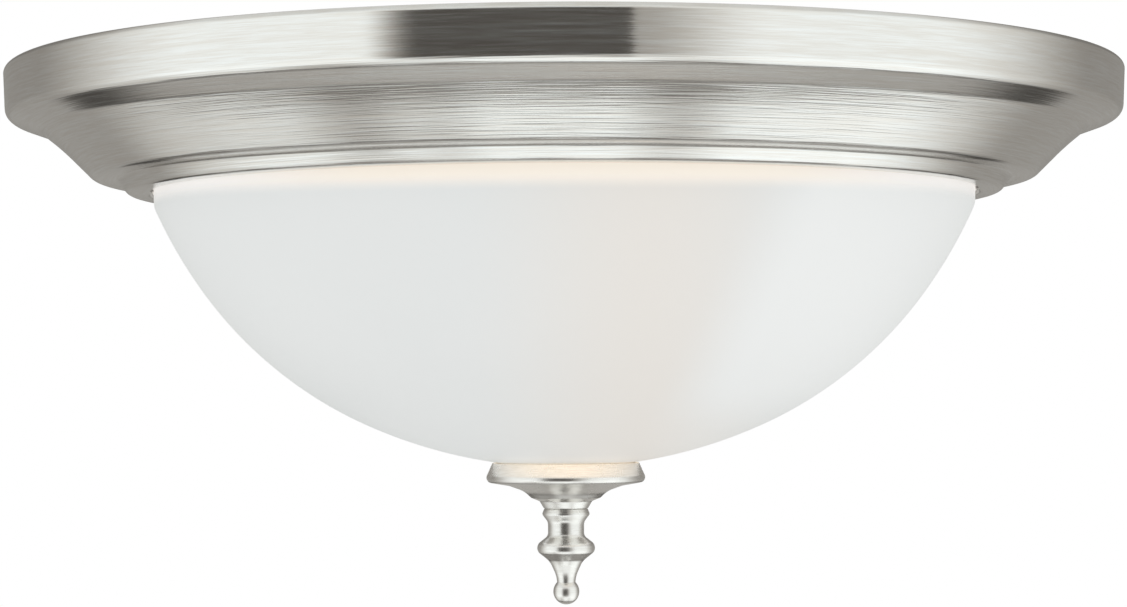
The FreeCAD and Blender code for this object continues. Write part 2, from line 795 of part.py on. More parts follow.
def wire_bushings():
    """Nylon bushings where the leads pass through the plate."""
    body = new_body("wire_bushings")
    bushing = turned(body, "bushing", [
        ("bushing_bore_radius", "-plate_drop - 1.8", 0.6),
        ("bushing_radius + 2", "-plate_drop - 1.8", 0.8),
        ("bushing_radius + 2", "-plate_drop"),
        ("bushing_radius - 0.1", "-plate_drop"),
        ("bushing_radius - 0.1", "-plate_drop + plate_steel"),
        ("bushing_radius + 0.5", "-plate_drop + plate_steel + 0.6"),
        ("bushing_radius - 0.5", "-plate_drop + 2.8"),
        ("bushing_bore_radius", "-plate_drop + 2.8"),
    ], at=("-bushing_reach", 0, "bushing_offset"))
    paired(body, [bushing])


def wire_connectors():
    """Twist-on connectors over the joined leads, lying beside the rod."""
    body = new_body("wire_connectors")
    sketch = outline(new_sketch(body, "connector_outline", "YZ_Plane", (0, "-lead_drop", 0)), [
        ("connector_mouth", 3.3),
        ("connector_mouth", "connector_radius", 0.5),
        ("connector_mouth + 4", "connector_radius", 3),
        ("connector_tip - 2", 4.0, 2),
        ("connector_tip", 3.0, 0.8),
        ("connector_tip", 0),
        ("connector_mouth + 10", 0),
        ("connector_mouth + 8", 3.3),
    ])
    paired(body, [revolve(body, "connector", sketch, "H_Axis")])


ARC_SHARE = 0.45


def tube(points, radius):
    """A round lead along straight runs joined by tangent arcs; also its arcs' radii."""
    edges = []
    radii = []
    start = points[0]
    for before, corner, after in zip(points, points[1:], points[2:]):
        half_turn = (corner - before).getAngle(after - corner) / 2
        shorter = min((corner - before).Length, (after - corner).Length)
        bend = ARC_SHARE * shorter / math.tan(half_turn)
        arc = rounded(before, corner, after, bend)
        edges.append(Part.LineSegment(start, arc[0]).toShape())
        edges.append(Part.Arc(*arc).toShape())
        radii.append(round(bend, 1))
        start = arc[2]
    edges.append(Part.LineSegment(start, points[-1]).toShape())
    path = Part.Wire(edges)
    circle = Part.Circle(points[0], points[1] - points[0], radius)
    section = Part.Wire(circle.toShape())
    solid = path.makePipeShell([section], True, False)
    share = solid.Volume / (math.pi * radius ** 2 * path.Length)
    return solid, radii, share


LEAD_ROUTES = {
    "upper": [
        (-69.5, -23.4, -52.0),
        (-69.5, -8.0, -51.5),
        (-70.0, -6.0, -32.0),
        (-69.4, -5.6, -8.8),
        (-56.0, 9.0, -8.8),
        (-30.0, 12.0, -8.8),
        (-10.0, 10.0, -8.8),
        (-1.7, 14.5, -8.8),
        (-1.7, 24.0, -8.8),
    ],
    "lower": [
        (-74.0, -23.4, -52.0),
        (-74.0, -8.6, -51.5),
        (-73.2, -6.2, -32.0),
        (-72.6, -6.4, -8.8),
        (-57.0, -12.0, -8.8),
        (-30.0, -13.2, -8.8),
        (-10.0, -10.0, -8.8),
        (-1.7, -14.5, -8.8),
        (-1.7, -24.0, -8.8),
    ],
}
LEADS = (
    ("lead_left_white", "upper", 0),
    ("lead_left_black", "lower", 0),
    ("lead_right_white", "lower", HALF_TURN),
    ("lead_right_black", "upper", HALF_TURN),
)
GROUND_ROUTE = [
    (22.0, -4.1, -3.6),
    (22.4, -16.0, -4.2),
    (26.0, -29.0, -12.0),
    (30.0, -39.9, -14.4),
]


def add_tube(label, route, turn):
    """One lead as a sub-part of its own."""
    solid, radii, share = tube([Vector(*point) for point in route], value("lead_radius"))
    print(f"{label}: arc radii {radii} mm, volume over section times length {share:.4f}")
    lead = doc.addObject("Part::Feature", label)
    lead.Label = label
    lead.Shape = solid
    lead.Placement = Placement(Vector(0, 0, 0), Rotation(Vector(0, 0, 1), turn))
    PARTS.append(lead)


def all_leads():
    """Four leads from the holders to the connectors, and the ground lead between its two screws."""
    for label, route, turn in LEADS:
        add_tube(label, LEAD_ROUTES[route], turn)
    add_tube("ground_lead", GROUND_ROUTE, 0)


# ---------------------------------------------------------------- pad and gasket

def insulation_pad():
    """Ring of glass wool on top of the plate, punched round the rivets and the bushings."""
    body = new_body("insulation_pad")
    low = "-plate_drop + plate_steel"
    turned(body, "pad", [
        ("pad_inner_radius", low),
        ("pad_outer_radius", low),
        ("pad_outer_radius", f"{low} + pad_thickness", 2),
        ("pad_inner_radius", f"{low} + pad_thickness", 2),
    ])
    places = bushing_places("bushing_radius + 2.5") + rivet_places("rivet_head_radius + 0.8")
    holes(body, "pad_holes", places, f"{low} + pad_thickness + 1", "pad_thickness + 2")


def rim_gasket():
    """Soft ring between the plate's step and the rim of the glass."""
    turned(new_body("rim_gasket"), "gasket", [
        ("gasket_inner_radius", "-seat_drop - gasket_thickness"),
        ("gasket_outer_radius", "-seat_drop - gasket_thickness"),
        ("gasket_outer_radius", "-seat_drop"),
        ("gasket_inner_radius", "-seat_drop"),
    ])


# ---------------------------------------------------------------- bowl, cap and finial

def glass_bowl():
    """Opal bowl of one thickness with a centre hole, its rim melted round."""
    body = new_body("glass_bowl")
    rim = "-seat_drop - gasket_thickness"
    solid = turned(body, "bowl", [
        (0, "-bowl_foot_drop"),
        ("bowl_toe_radius", "-bowl_foot_drop", "bowl_toe_round"),
        ("bowl_knee_radius", "-bowl_knee_drop", "bowl_knee_round"),
        ("bowl_hip_radius", "-bowl_hip_drop", "bowl_hip_round"),
        ("bowl_neck_radius", "-bowl_neck_drop", 6),
        ("bowl_neck_radius", rim),
        (0, rim),
    ])
    wall = shelled(body, "bowl_wall", solid, "bowl_glass", level_face_at(value(rim)))
    doc.recompute()
    rim_edges = [f"Edge{number}" for number, edge in enumerate(wall.Shape.Edges, start=1)
                 if abs(edge.BoundBox.ZMax - value(rim)) < 0.001 and edge.BoundBox.ZLength < 0.001]
    rounding = body.newObject("PartDesign::Fillet", "rim_rounding")
    rounding.Base = (wall, rim_edges)
    rounding.Radius = 1.2
    holes(body, "bowl_hole", [(0, 0, "bowl_hole_radius")], "-bowl_foot_drop + 10", 12)


def bowl_grommet():
    """Rubber grommet in the bowl's hole, so that the rod never touches the glass."""
    bore = "rod_radius + slide_gap"
    turned(new_body("bowl_grommet"), "grommet", [
        (bore, "-bowl_foot_drop - 1.5"),
        ("grommet_radius", "-bowl_foot_drop - 1.5", 0.6),
        ("grommet_radius", "-bowl_foot_drop - 0.1", 0.4),
        ("bowl_hole_radius - 0.2", "-bowl_foot_drop - 0.1"),
        ("bowl_hole_radius - 0.2", "-bowl_foot_drop + bowl_glass + 0.5"),
        ("grommet_radius - 1", "-bowl_foot_drop + bowl_glass + 0.5", 0.3),
        ("grommet_radius - 1", "-bowl_foot_drop + bowl_glass + 1.7", 0.6),
        (bore, "-bowl_foot_drop + bowl_glass + 1.7"),
    ])


def bowl_cap():
    """Spun cap under the bowl: conical rim, rolled corner and a trumpet foot with a small step."""
    bore = "rod_radius + slide_gap"
    turned(new_body("bowl_cap"), "cap", [
        ("cap_rim_radius - cap_brass", "-cap_rim_drop"),
        ("cap_rim_radius", "-cap_rim_drop"),
        ("cap_radius", "-cap_floor_drop", 1.6),
        ("cap_flare_radius", "-cap_flare_drop", 7),
        ("cap_neck_radius", "-cap_neck_drop", 8),
        ("cap_step_radius", "-cap_step_drop", 0.5),
        ("cap_foot_radius + 1.3", "-cap_foot_drop + 2.2", 0.9),
        ("cap_foot_radius", "-cap_foot_drop", 0.5),
        (bore, "-cap_foot_drop"),
        (bore, "-cap_foot_drop + 1.5"),
        ("cap_foot_radius - 0.6", "-cap_foot_drop + 2.5", 1),
        ("cap_step_radius - 1.1", "-cap_step_drop + 1.4", 1),
        ("cap_neck_radius - 0.5", "-cap_neck_drop + 1.2", 4),
        ("cap_flare_radius - 0.3", "-cap_flare_drop + 0.75", 4),
        ("cap_radius - cap_brass - 0.2", "-cap_floor_drop + 0.5", 0.7),
    ])


def finial():
    """Turned finial: collar, waist, bead, tapering neck and a ball, threaded from the top."""
    body = new_body("finial")
    bore = "rod_radius + thread_gap"
    turned(body, "stem", [
        (bore, "-finial_top_drop"),
        ("finial_collar_radius - 0.7", "-finial_top_drop", 0.4),
        ("finial_collar_radius", "-finial_top_drop - 1.65", 0.9),
        ("finial_waist_radius", "-finial_top_drop - 4.0", 2.8),
        ("finial_waist_radius", "-finial_bead_drop + 3.8", 2),
        ("finial_bead_radius", "-finial_bead_drop + 1.2", 2.2),
        ("finial_bead_radius - 0.1", "-finial_bead_drop - 0.9", 2),
        ("finial_neck_radius + 2.15", "-finial_bead_drop - 3.9", 5),
        ("finial_neck_radius", "-finial_bead_drop - 8.6", 9),
        ("finial_neck_radius", "-finial_ball_drop + 2.2"),
        (0, "-finial_ball_drop + 2.2"),
        (0, "-finial_bore_end - 1"),
        (bore, "-finial_bore_end"),
    ])
    ball = body.newObject("PartDesign::AdditiveSphere", "ball")
    ball.AttachmentSupport = (origin_feature(body, "XY_Plane"), "")
    ball.MapMode = "FlatFace"
    ball.setExpression("Radius", bound("finial_ball_radius"))
    ball.setExpression(".AttachmentOffset.Base.z", bound("-finial_ball_drop"))


# ---------------------------------------------------------------- build, check and write

decorative_pan()
holder_plate()
mounting_bar()
mounting_screws()
ground_screws()
centre_rod()
rod_nuts()
rod_washer()
lock_washer()
for side, turn in HOLDERS:
    lamp_holder(side, turn)
    screw_shell(side, turn)
    centre_contact(side, turn)
    holder_bracket(side, turn)
    lamp_bulb(side, turn)
    lamp_base(side, turn)
    lamp_insulator(side, turn)
    lamp_contact(side, turn)
bracket_rivets()
holder_screws()
wire_bushings()
wire_connectors()
all_leads()
insulation_pad()
rim_gasket()
glass_bowl()
bowl_grommet()
bowl_cap()
finial()
doc.recompute()

failed = [item.Label for item in doc.Objects if {"Invalid", "Error"} & set(item.State)]
if failed:
    raise RuntimeError(f"not computed: {failed}")
for part in PARTS:
    if part.Shape.isNull() or not part.Shape.isValid() or not part.Shape.Solids:
        raise RuntimeError(f"bad shape: {part.Label}")
for part in PARTS:
    part.Shape.exportStep(f"parts/{part.Label}.step")
    box = part.Shape.optimalBoundingBox()
    print(f"{part.Label}: {len(part.Shape.Solids)} solid(s), {part.Shape.Volume / 1000:.2f} cm3, "
          f"z {box.ZMin:.2f} to {box.ZMax:.2f}")
print(f"{len(PARTS)} sub-parts written")
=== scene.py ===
# %% [markdown]
# # A flush mount ceiling light
# This lesson dresses a finished mechanical model of a ceiling light: a spun nickel pan, an opal glass bowl,
# and a cap with a turned finial that clamps the bowl on a threaded rod. Two lamps, their holders and the
# wiring sit inside, and they show when the bowl is lowered or when the light is looked at from above.
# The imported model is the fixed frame. Every new piece is worked out in the same metres and rides on the body
# that carries it, so that nothing has to be fitted afterwards.

# %% Load the frame
import json
import math
import bmesh
import bpy
import numpy as np
from mathutils import Matrix, Vector


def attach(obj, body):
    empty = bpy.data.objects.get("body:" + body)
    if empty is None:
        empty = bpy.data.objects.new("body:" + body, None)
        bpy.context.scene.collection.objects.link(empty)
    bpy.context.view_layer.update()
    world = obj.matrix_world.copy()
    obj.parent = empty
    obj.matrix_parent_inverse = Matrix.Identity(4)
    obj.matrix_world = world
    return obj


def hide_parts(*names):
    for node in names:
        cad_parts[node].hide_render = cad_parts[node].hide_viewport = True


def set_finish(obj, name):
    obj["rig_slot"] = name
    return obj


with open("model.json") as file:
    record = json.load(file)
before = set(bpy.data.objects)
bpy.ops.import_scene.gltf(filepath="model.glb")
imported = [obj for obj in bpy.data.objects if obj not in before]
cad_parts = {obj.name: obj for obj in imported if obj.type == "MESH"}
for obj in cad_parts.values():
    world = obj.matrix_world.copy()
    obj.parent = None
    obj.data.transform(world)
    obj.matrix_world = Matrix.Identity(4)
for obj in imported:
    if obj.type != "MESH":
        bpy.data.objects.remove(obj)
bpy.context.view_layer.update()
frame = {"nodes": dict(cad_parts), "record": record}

MM = 0.001

# %% [markdown]
# ## The view
# The photograph looks at the light from just below the pan through a long lens, which keeps the round rim
# from bulging. Its upright lines stay parallel, so the camera is level and the frame is shifted up instead of
# tilted. The camera is given as a place, a roll and a shift, because those are what a photographer sets on a
# view camera.

# %% Camera
CAMERA_PLACE = Vector((0.0, -0.8415, -0.0944))
CAMERA_ROLL = math.radians(-0.26)
CAMERA_SHIFT = (-0.0017, 0.0785)
LENS_MM = 89.62
SENSOR_MM = 36.0

camera_data = bpy.data.cameras.new("photo_camera")
camera_data.lens = LENS_MM
camera_data.sensor_width = SENSOR_MM
camera_data.shift_x, camera_data.shift_y = CAMERA_SHIFT
camera = bpy.data.objects.new("photo_camera", camera_data)
bpy.context.scene.collection.objects.link(camera)
level_ahead = math.pi / 2
turn = Matrix.Rotation(level_ahead, 4, "X") @ Matrix.Rotation(CAMERA_ROLL, 4, "Z")
camera.matrix_world = Matrix.Translation(CAMERA_PLACE) @ turn
bpy.context.scene.camera = camera
bpy.context.scene.view_settings.view_transform = "Standard"
print("camera at", [round(part, 3) for part in CAMERA_PLACE], "lens", LENS_MM, "mm, shift", CAMERA_SHIFT)

# %% [markdown]
# ## Helpers for node trees
# Materials are small graphs of nodes. Short helpers keep them readable: they add a node with its values,
# chain arithmetic, fade one number into another, mix colours, and make or use a group with named sockets.

# %% Node helpers
MIX_INPUTS, MIX_RESULT = (0, 6, 7), 2


def feed(tree, socket, value):
    """Give an input its value, which is a constant or another node's socket."""
    if isinstance(value, bpy.types.NodeSocket):
        tree.links.new(value, socket)
    else:
        socket.default_value = value


def give(tree, sockets, **values):
    """Give inputs their values by name, with an underscore for each space."""
    for name, value in values.items():
        feed(tree, sockets[name.replace("_", " ")], value)


def add_node(tree, kind, settings=None, **inputs):
    """A node of that kind. Settings are its own properties; inputs are values or sockets by name."""
    node = tree.nodes.new(kind)
    for name, value in (settings or {}).items():
        setattr(node, name, value)
    give(tree, node.inputs, **inputs)
    return node


def maths(tree, operation, *values):
    """The result of one arithmetic step on numbers or sockets."""
    node = add_node(tree, "ShaderNodeMath", {"operation": operation})
    for socket, value in zip(node.inputs, values):
        feed(tree, socket, value)
    return node.outputs[0]


def times(tree, product, *factors):
    """The product of two or more numbers or sockets."""
    for factor in factors:
        product = maths(tree, "MULTIPLY", product, factor)
    return product


def ramp(tree, value, start, end, low=0.0, high=1.0):
    """A value that goes smoothly from low to high while the input goes from start to end."""
    return add_node(tree, "ShaderNodeMapRange", {"interpolation_type": "SMOOTHSTEP"}, Value=value,
                    From_Min=start, From_Max=end, To_Min=low, To_Max=high).outputs["Result"]


def tint(tree, factor, first, second, blend="MIX"):
    """A colour between two others, each a colour or a socket. MIX_INPUTS are factor, first and second."""
    node = add_node(tree, "ShaderNodeMix", {"data_type": "RGBA", "blend_type": blend})
    for index, value in zip(MIX_INPUTS, (factor, first, second)):
        feed(tree, node.inputs[index], (*value, 1.0) if isinstance(value, tuple) else value)
    return node.outputs[MIX_RESULT]


def from_axis(tree, parts):
    """The distance from the upright axis: the root of x^2 + y^2."""
    squares = maths(tree, "ADD", maths(tree, "POWER", parts[0], 2.0), maths(tree, "POWER", parts[1], 2.0))
    return maths(tree, "SQRT", squares)


def new_group(name, inputs, outputs):
    """An empty shader group with named sockets: {name: kind} in, {name: kind} out."""
    group = bpy.data.node_groups.new(name, "ShaderNodeTree")
    for direction, sockets in (("INPUT", inputs), ("OUTPUT", outputs)):
        for label, kind in sockets.items():
            group.interface.new_socket(label, in_out=direction, socket_type=f"NodeSocket{kind}")
    return group, group.nodes.new("NodeGroupInput").outputs, group.nodes.new("NodeGroupOutput").inputs


def use_group(tree, group, place, **inputs):
    """The outputs of that group as a node of the tree, with its own values."""
    return add_node(tree, "ShaderNodeGroup", {"node_tree": group}, Vector=place, **inputs).outputs

# %% [markdown]
# ## The studio
# Metal has hardly a look of its own: it shows the room. A photographer plans that with a mirror ball, and so
# does this world: a direction is turned into the spot on a mirror ball, seen from the front, that reflects
# it. Across runs from -90 degrees at the ball's left edge to 90 at its right, and tilt from -90 at its top to
# 90 at its foot. Then the room is a few soft shapes: a bright wall in front, dimmer walls beside and behind,
# a dark panel with the camera in it, two stands that stop the light from below, and a darker floor behind
# the object. All their edges are degrees on that ball, and a fade is given by its start and its end.
# The camera sees plain white, soft light falls evenly on all that is matt, and only reflections see the
# room.

# %% Edges and tones of the room
PANEL_LEFT, PANEL_RIGHT = -16.6, 6.55
PANEL_TOP, PANEL_FOOT = -14.0, 20.5
PANEL_SOFT, PANEL_FOOT_SOFT, PANEL_SHARP = 3.0, 6.0, 0.2
PANEL_TONE = 0.075
HALF_SHADE_END, HALF_SHADE_DEPTH = 20.5, 0.60
WALL_FADE, WALL_TONE, LOW_WALL_TONE = (6.0, 20.0), 1.0, 1.14
SIDE_FADE, SIDE_TONE = (38.0, 65.0), 0.29
BELOW_FADE, DEEP_FADE = (24.5, 29.5), (50.0, 58.0)
STAND_HALF_WIDTH = 9.0
STANDS = ((-25.0, 0.33), (13.5, 0.36))
LEFT_FADE, LEFT_END_FADE, LEFT_DIM = (-7.0, -15.0), (-58.0, -44.0), 0.27
BEHIND_FADE, BEHIND_RISE = (43.5, 47.5), (51.0, 57.0)
BEHIND_TONE, DEEP_TONE = 0.38, 0.14
ABOVE_FADE, ABOVE_TONE = (-14.0, -30.0), 0.70
WARM, COOL, WHITE = (1.0, 0.935, 0.85), (0.97, 1.0, 0.99), (1.0, 1.0, 1.0)
SOFT_LIGHT = 0.98
SMALLEST = 1e-6

# %% Soft shapes
def bell(tree, value, middle, half_width):
    """One at the middle, falling smoothly to nothing at half_width on either side."""
    gap = maths(tree, "ABSOLUTE", maths(tree, "SUBTRACT", value, middle))
    return ramp(tree, gap, 0.0, half_width, 1.0, 0.0)


def begins(tree, value, place, soft):
    """Nothing before the place and one after it, over that softness on either side."""
    return ramp(tree, value, place - soft, place + soft)


def ends(tree, value, place, soft):
    """One before the place and nothing after it, over that softness on either side."""
    return ramp(tree, value, place - soft, place + soft, 1.0, 0.0)


def dimmed(tree, tone, mask, depth):
    """The tone times (1 - depth * mask)."""
    return times(tree, tone, maths(tree, "SUBTRACT", 1.0, times(tree, mask, depth)))

# %% World
world = bpy.data.worlds.new("studio")
bpy.context.scene.world = world
world.use_nodes = True
sky = world.node_tree
sky.nodes.clear()
axes = add_node(sky, "ShaderNodeSeparateXYZ", Vector=sky.nodes.new("ShaderNodeTexCoord").outputs["Generated"])
right, ahead, up = axes.outputs
to_degrees = math.degrees(1.0)
facing = maths(sky, "SUBTRACT", 1.0, ahead)
length = maths(sky, "SQRT", maths(sky, "MAXIMUM", times(sky, facing, 2.0), SMALLEST))
across = times(sky, maths(sky, "ARCTAN2", right, facing), to_degrees)
drop = maths(sky, "DIVIDE", times(sky, up, -1.0), length)
tilt = times(sky, maths(sky, "ARCSINE", drop), to_degrees)

tone = ramp(sky, tilt, *WALL_FADE, WALL_TONE, LOW_WALL_TONE)
not_deep = ramp(sky, tilt, *DEEP_FADE, 1.0, 0.0)
sides = times(sky, ramp(sky, maths(sky, "ABSOLUTE", across), *SIDE_FADE), not_deep)
tone = dimmed(sky, tone, sides, 1.0 - SIDE_TONE)
below = times(sky, ramp(sky, tilt, *BELOW_FADE), not_deep)
left = times(sky, ramp(sky, across, *LEFT_FADE), ramp(sky, across, *LEFT_END_FADE))
tone = dimmed(sky, tone, times(sky, left, below), LEFT_DIM)
for middle, depth in STANDS:
    tone = dimmed(sky, tone, times(sky, bell(sky, across, middle, STAND_HALF_WIDTH), below), depth)
behind = ramp(sky, tilt, *BEHIND_RISE, 1.0 - DEEP_TONE, 1.0 - BEHIND_TONE)
tone = dimmed(sky, tone, times(sky, ramp(sky, tilt, *BEHIND_FADE), behind), 1.0)
tone = dimmed(sky, tone, ramp(sky, tilt, *ABOVE_FADE), 1.0 - ABOVE_TONE)
panel = times(sky, begins(sky, across, PANEL_LEFT, PANEL_SOFT), begins(sky, tilt, PANEL_TOP, PANEL_SOFT),
              ends(sky, tilt, PANEL_FOOT, PANEL_FOOT_SOFT))
half_shade = times(sky, panel, ramp(sky, across, PANEL_RIGHT, HALF_SHADE_END, 1.0, 0.0))
tone = dimmed(sky, tone, half_shade, HALF_SHADE_DEPTH)
dark = times(sky, panel, ends(sky, across, PANEL_RIGHT, PANEL_SHARP))
tone = dimmed(sky, tone, dark, 1.0 - PANEL_TONE / (1.0 - HALF_SHADE_DEPTH))
room = tint(sky, 1.0, tint(sky, tone, WARM, COOL), tone, "MULTIPLY")
rays = sky.nodes.new("ShaderNodeLightPath").outputs
seen = tint(sky, rays["Is Glossy Ray"], (SOFT_LIGHT,) * 3, room)
plain = maths(sky, "MAXIMUM", rays["Is Camera Ray"], rays["Is Transmission Ray"])
seen = tint(sky, plain, seen, WHITE)
glow = add_node(sky, "ShaderNodeBackground", Color=seen, Strength=1.0)
add_node(sky, "ShaderNodeOutputWorld", Surface=glow.outputs[0])
print("dark panel from", PANEL_LEFT, "to", PANEL_RIGHT, "degrees across the mirror ball")

# %% [markdown]
# ## Surfaces from numpy
# Nearly every piece of such a light is turned or spun: an outline carried round an axis. The outline is
# written as a designer would dimension it, as corners with a rounding, and the grid of points comes from one
# array formula. Meshes made this way have even faces, and their level of detail is one number.

# %% Outlines
FEWEST_ARC_POINTS = 4


def rounded_outline(corners, closed=True, step=0.15):
    """Points (radius, height) in mm along corners (radius, height, optional rounding).

    A corner c with unit directions a and b to its neighbours is cut back by t = rounding / tan(half angle)
    and replaced by the arc about the centre c + (a + b) / |a + b| * rounding / sin(half angle).
    """
    places = np.array([corner[:2] for corner in corners], float)
    rows = []
    for index, corner in enumerate(corners):
        here = places[index]
        rounding = corner[2] if len(corner) > 2 else 0.0
        at_end = not closed and index in (0, len(corners) - 1)
        if not rounding or at_end:
            rows.append(here[None])
            continue
        back = places[index - 1] - here
        on = places[(index + 1) % len(places)] - here
        back /= np.linalg.norm(back)
        on /= np.linalg.norm(on)
        half = math.acos(np.clip(back @ on, -1, 1)) / 2
        reach = rounding / math.tan(half)
        middle = (back + on) / np.linalg.norm(back + on)
        centre = here + middle * rounding / math.sin(half)
        first, last = here + back * reach - centre, here + on * reach - centre
        sweep = math.atan2(first[0] * last[1] - first[1] * last[0], first @ last)
        count = max(FEWEST_ARC_POINTS, int(abs(sweep) * rounding / step))
        angles = np.linspace(0, sweep, count)[:, None]
        square_on = np.array([-first[1], first[0]])
        rows.append(centre + np.cos(angles) * first + np.sin(angles) * square_on)
    return np.concatenate(rows)


def evened(outline, spacing, closed=True):
    """The same line with points added on its long straight runs, so that faces stay short."""
    next_points = np.roll(outline, -1, axis=0)
    pieces = []
    for start, end in list(zip(outline, next_points))[: len(outline) if closed else -1]:
        count = max(1, int(np.linalg.norm(end - start) / spacing))
        share = np.arange(count)[:, None] / count
        pieces.append(start + (end - start) * share)
    return np.concatenate(pieces + ([] if closed else [outline[-1:]]))


def inward(outline, wall):
    """The line one wall inside an open outline: each point moves along the mean of its two edge normals."""
    edges = np.diff(outline, axis=0)
    normals = np.stack([edges[:, 1], -edges[:, 0]], axis=1)
    normals /= np.linalg.norm(normals, axis=1, keepdims=True)
    mean = np.concatenate([normals[:1], normals]) + np.concatenate([normals, normals[-1:]])
    scale = 2 / np.maximum((mean ** 2).sum(axis=1, keepdims=True), 0.5)
    return outline + mean * scale * wall

# %% Points round an axis
def round_angles(columns):
    """The angles of that many columns, once round, as one row."""
    return np.linspace(0, 2 * math.pi, columns, endpoint=False)[None, :]


def carried_round(radius, angle, height):
    """A grid of points in metres from mm: x = r cos a, y = r sin a, z = height."""
    return np.stack(np.broadcast_arrays(radius * np.cos(angle), radius * np.sin(angle), height), axis=-1) * MM


def turned_points(outline, columns, wobble=None):
    """Carry an outline (radius, height) round the upright axis. A wobble is added to the radius."""
    angle = round_angles(columns)
    radius = outline[:, :1]
    if wobble is not None:
        radius = radius + wobble(angle, outline)
    return carried_round(radius, angle, outline[:, 1:])

# %% Meshes from grids
SHARP_ANGLE = math.radians(38)
MERGE = 1e-7


def grid_faces(rows, columns, closed_down=False):
    """Face (i, j) joins points (i, j), (i, j+1), (i+1, j+1) and (i+1, j).

    The last column meets the first, and so does the last row of a grid that is closed down.
    """
    down = np.arange(rows if closed_down else rows - 1)[:, None]
    around = np.arange(columns)[None, :]
    next_down, next_around = (down + 1) % rows, (around + 1) % columns
    corners = [down * columns + around, down * columns + next_around,
               next_down * columns + next_around, next_down * columns + around]
    return np.stack([corner.ravel() for corner in corners], axis=1)


def finished(name, points, faces, smooth=True):
    """A mesh object without loose points, with its poles and seams merged and its faces turned outwards.

    A smooth one is shaded smoothly over small angles.
    """
    mesh = bpy.data.meshes.new(name)
    mesh.from_pydata(points, [], faces)
    work = bmesh.new()
    work.from_mesh(mesh)
    loose = [point for point in work.verts if not point.link_faces]
    bmesh.ops.delete(work, geom=loose, context="VERTS")
    bmesh.ops.remove_doubles(work, verts=work.verts, dist=MERGE)
    bmesh.ops.dissolve_degenerate(work, edges=work.edges, dist=MERGE)
    bmesh.ops.recalc_face_normals(work, faces=work.faces)
    work.to_mesh(mesh)
    work.free()
    if smooth:
        mesh.shade_smooth()
        mesh.set_sharp_from_angle(angle=SHARP_ANGLE)
    piece = bpy.data.objects.new(name, mesh)
    bpy.context.scene.collection.objects.link(piece)
    return piece


def grid_piece(name, points, closed_down, smooth=True):
    """A mesh object from one grid of points (rows, columns, xyz) in metres that is closed round.

    Rows that are one point become a pole.
    """
    return finished(name, points.reshape(-1, 3), grid_faces(*points.shape[:2], closed_down), smooth)


def joined_piece(name, grids):
    """One mesh object from several such grids, each closed round and ending in poles."""
    corners, faces, start = [], [], 0
    for points in grids:
        faces.append(grid_faces(*points.shape[:2]) + start)
        corners.append(points.reshape(-1, 3))
        start += len(corners[-1])
    return finished(name, np.concatenate(corners), np.concatenate(faces))


PIECES = []


def put_on(piece, body, slot, *nodes):
    """The piece moves with that body, takes its finish from that slot and stands for those nodes."""
    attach(piece, body)
    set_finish(piece, slot)
    if nodes:
        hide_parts(*nodes)
    PIECES.append(piece)
    print(f"{piece.name}: {len(piece.data.polygons)} faces on {body}, finish {slot}")

# %% [markdown]
# ## The spun pan
# A pan like this is spun from a steel disc over a wooden chuck: a flange against the ceiling, an upright
# band, a sloping cove, a ledge, and a bead that turns in to hold back the light. The chuck leaves very faint
# rings, so the outline gets a ripple of a few microns, which breaks up the reflections as it does on the
# real thing.

# %% Pan
PAN_RADIUS, PAN_STEEL, FLANGE_WIDTH = 165.0, 0.8, 9.0
BAND_DRAFT, BAND_END = 0.5, -14.3
COVE_TOP, COVE_MIDDLE, COVE_FOOT_RADIUS = (154.5, -17.8), (148.6, -22.5), 139.3
LEDGE_HEIGHT, LEDGE_END = -31.75, 132.1
BEAD_RADIUS, BEAD_HEIGHT = 129.6, -35.7
LIP_RADIUS, LIP_TOP = 122.6, -31.2
PAN_OUTSIDE = [
    (PAN_RADIUS - FLANGE_WIDTH, 0.0),
    (PAN_RADIUS, 0.0, 1.8),
    (PAN_RADIUS - BAND_DRAFT, BAND_END, 3.4),
    (*COVE_TOP, 4.5),
    (*COVE_MIDDLE, 75.0),
    (COVE_FOOT_RADIUS, LEDGE_HEIGHT, 4.2),
    (LEDGE_END, LEDGE_HEIGHT, 1.4),
    (BEAD_RADIUS, BEAD_HEIGHT, 2.4),
    (LIP_RADIUS, BEAD_HEIGHT, 1.4),
    (LIP_RADIUS, LIP_TOP),
]
WIDE_RIPPLE, FINE_RIPPLE = 0.006, 0.004


def spun_ripple(angle, outline):
    """Rings of a few microns that drift a little round the pan: a sin(k s + 2 sin a), s along the outline."""
    steps = np.linalg.norm(np.diff(outline, axis=0), axis=1)
    along = np.concatenate([[0], np.cumsum(steps)])[:, None]
    wide = WIDE_RIPPLE * np.sin(along * 2.1 + 2 * np.sin(angle))
    return wide + FINE_RIPPLE * np.sin(along * 5.3 + 3 * np.cos(angle + 1))


outer = evened(rounded_outline(PAN_OUTSIDE, closed=False), spacing=0.8, closed=False)
inner = inward(outer, PAN_STEEL)
section = np.concatenate([outer, inner[::-1]])
pan = grid_piece("spun_pan", turned_points(section, columns=384, wobble=spun_ripple), closed_down=True)
put_on(pan, "fixture", "satin_nickel", "decorative_pan")

# %% [markdown]
# ## The opal bowl
# The bowl is pressed opal glass with a flattened foot and a melted rim. It is drawn as one outline of the
# outside, the same line one wall further in, and a half round rim between them.

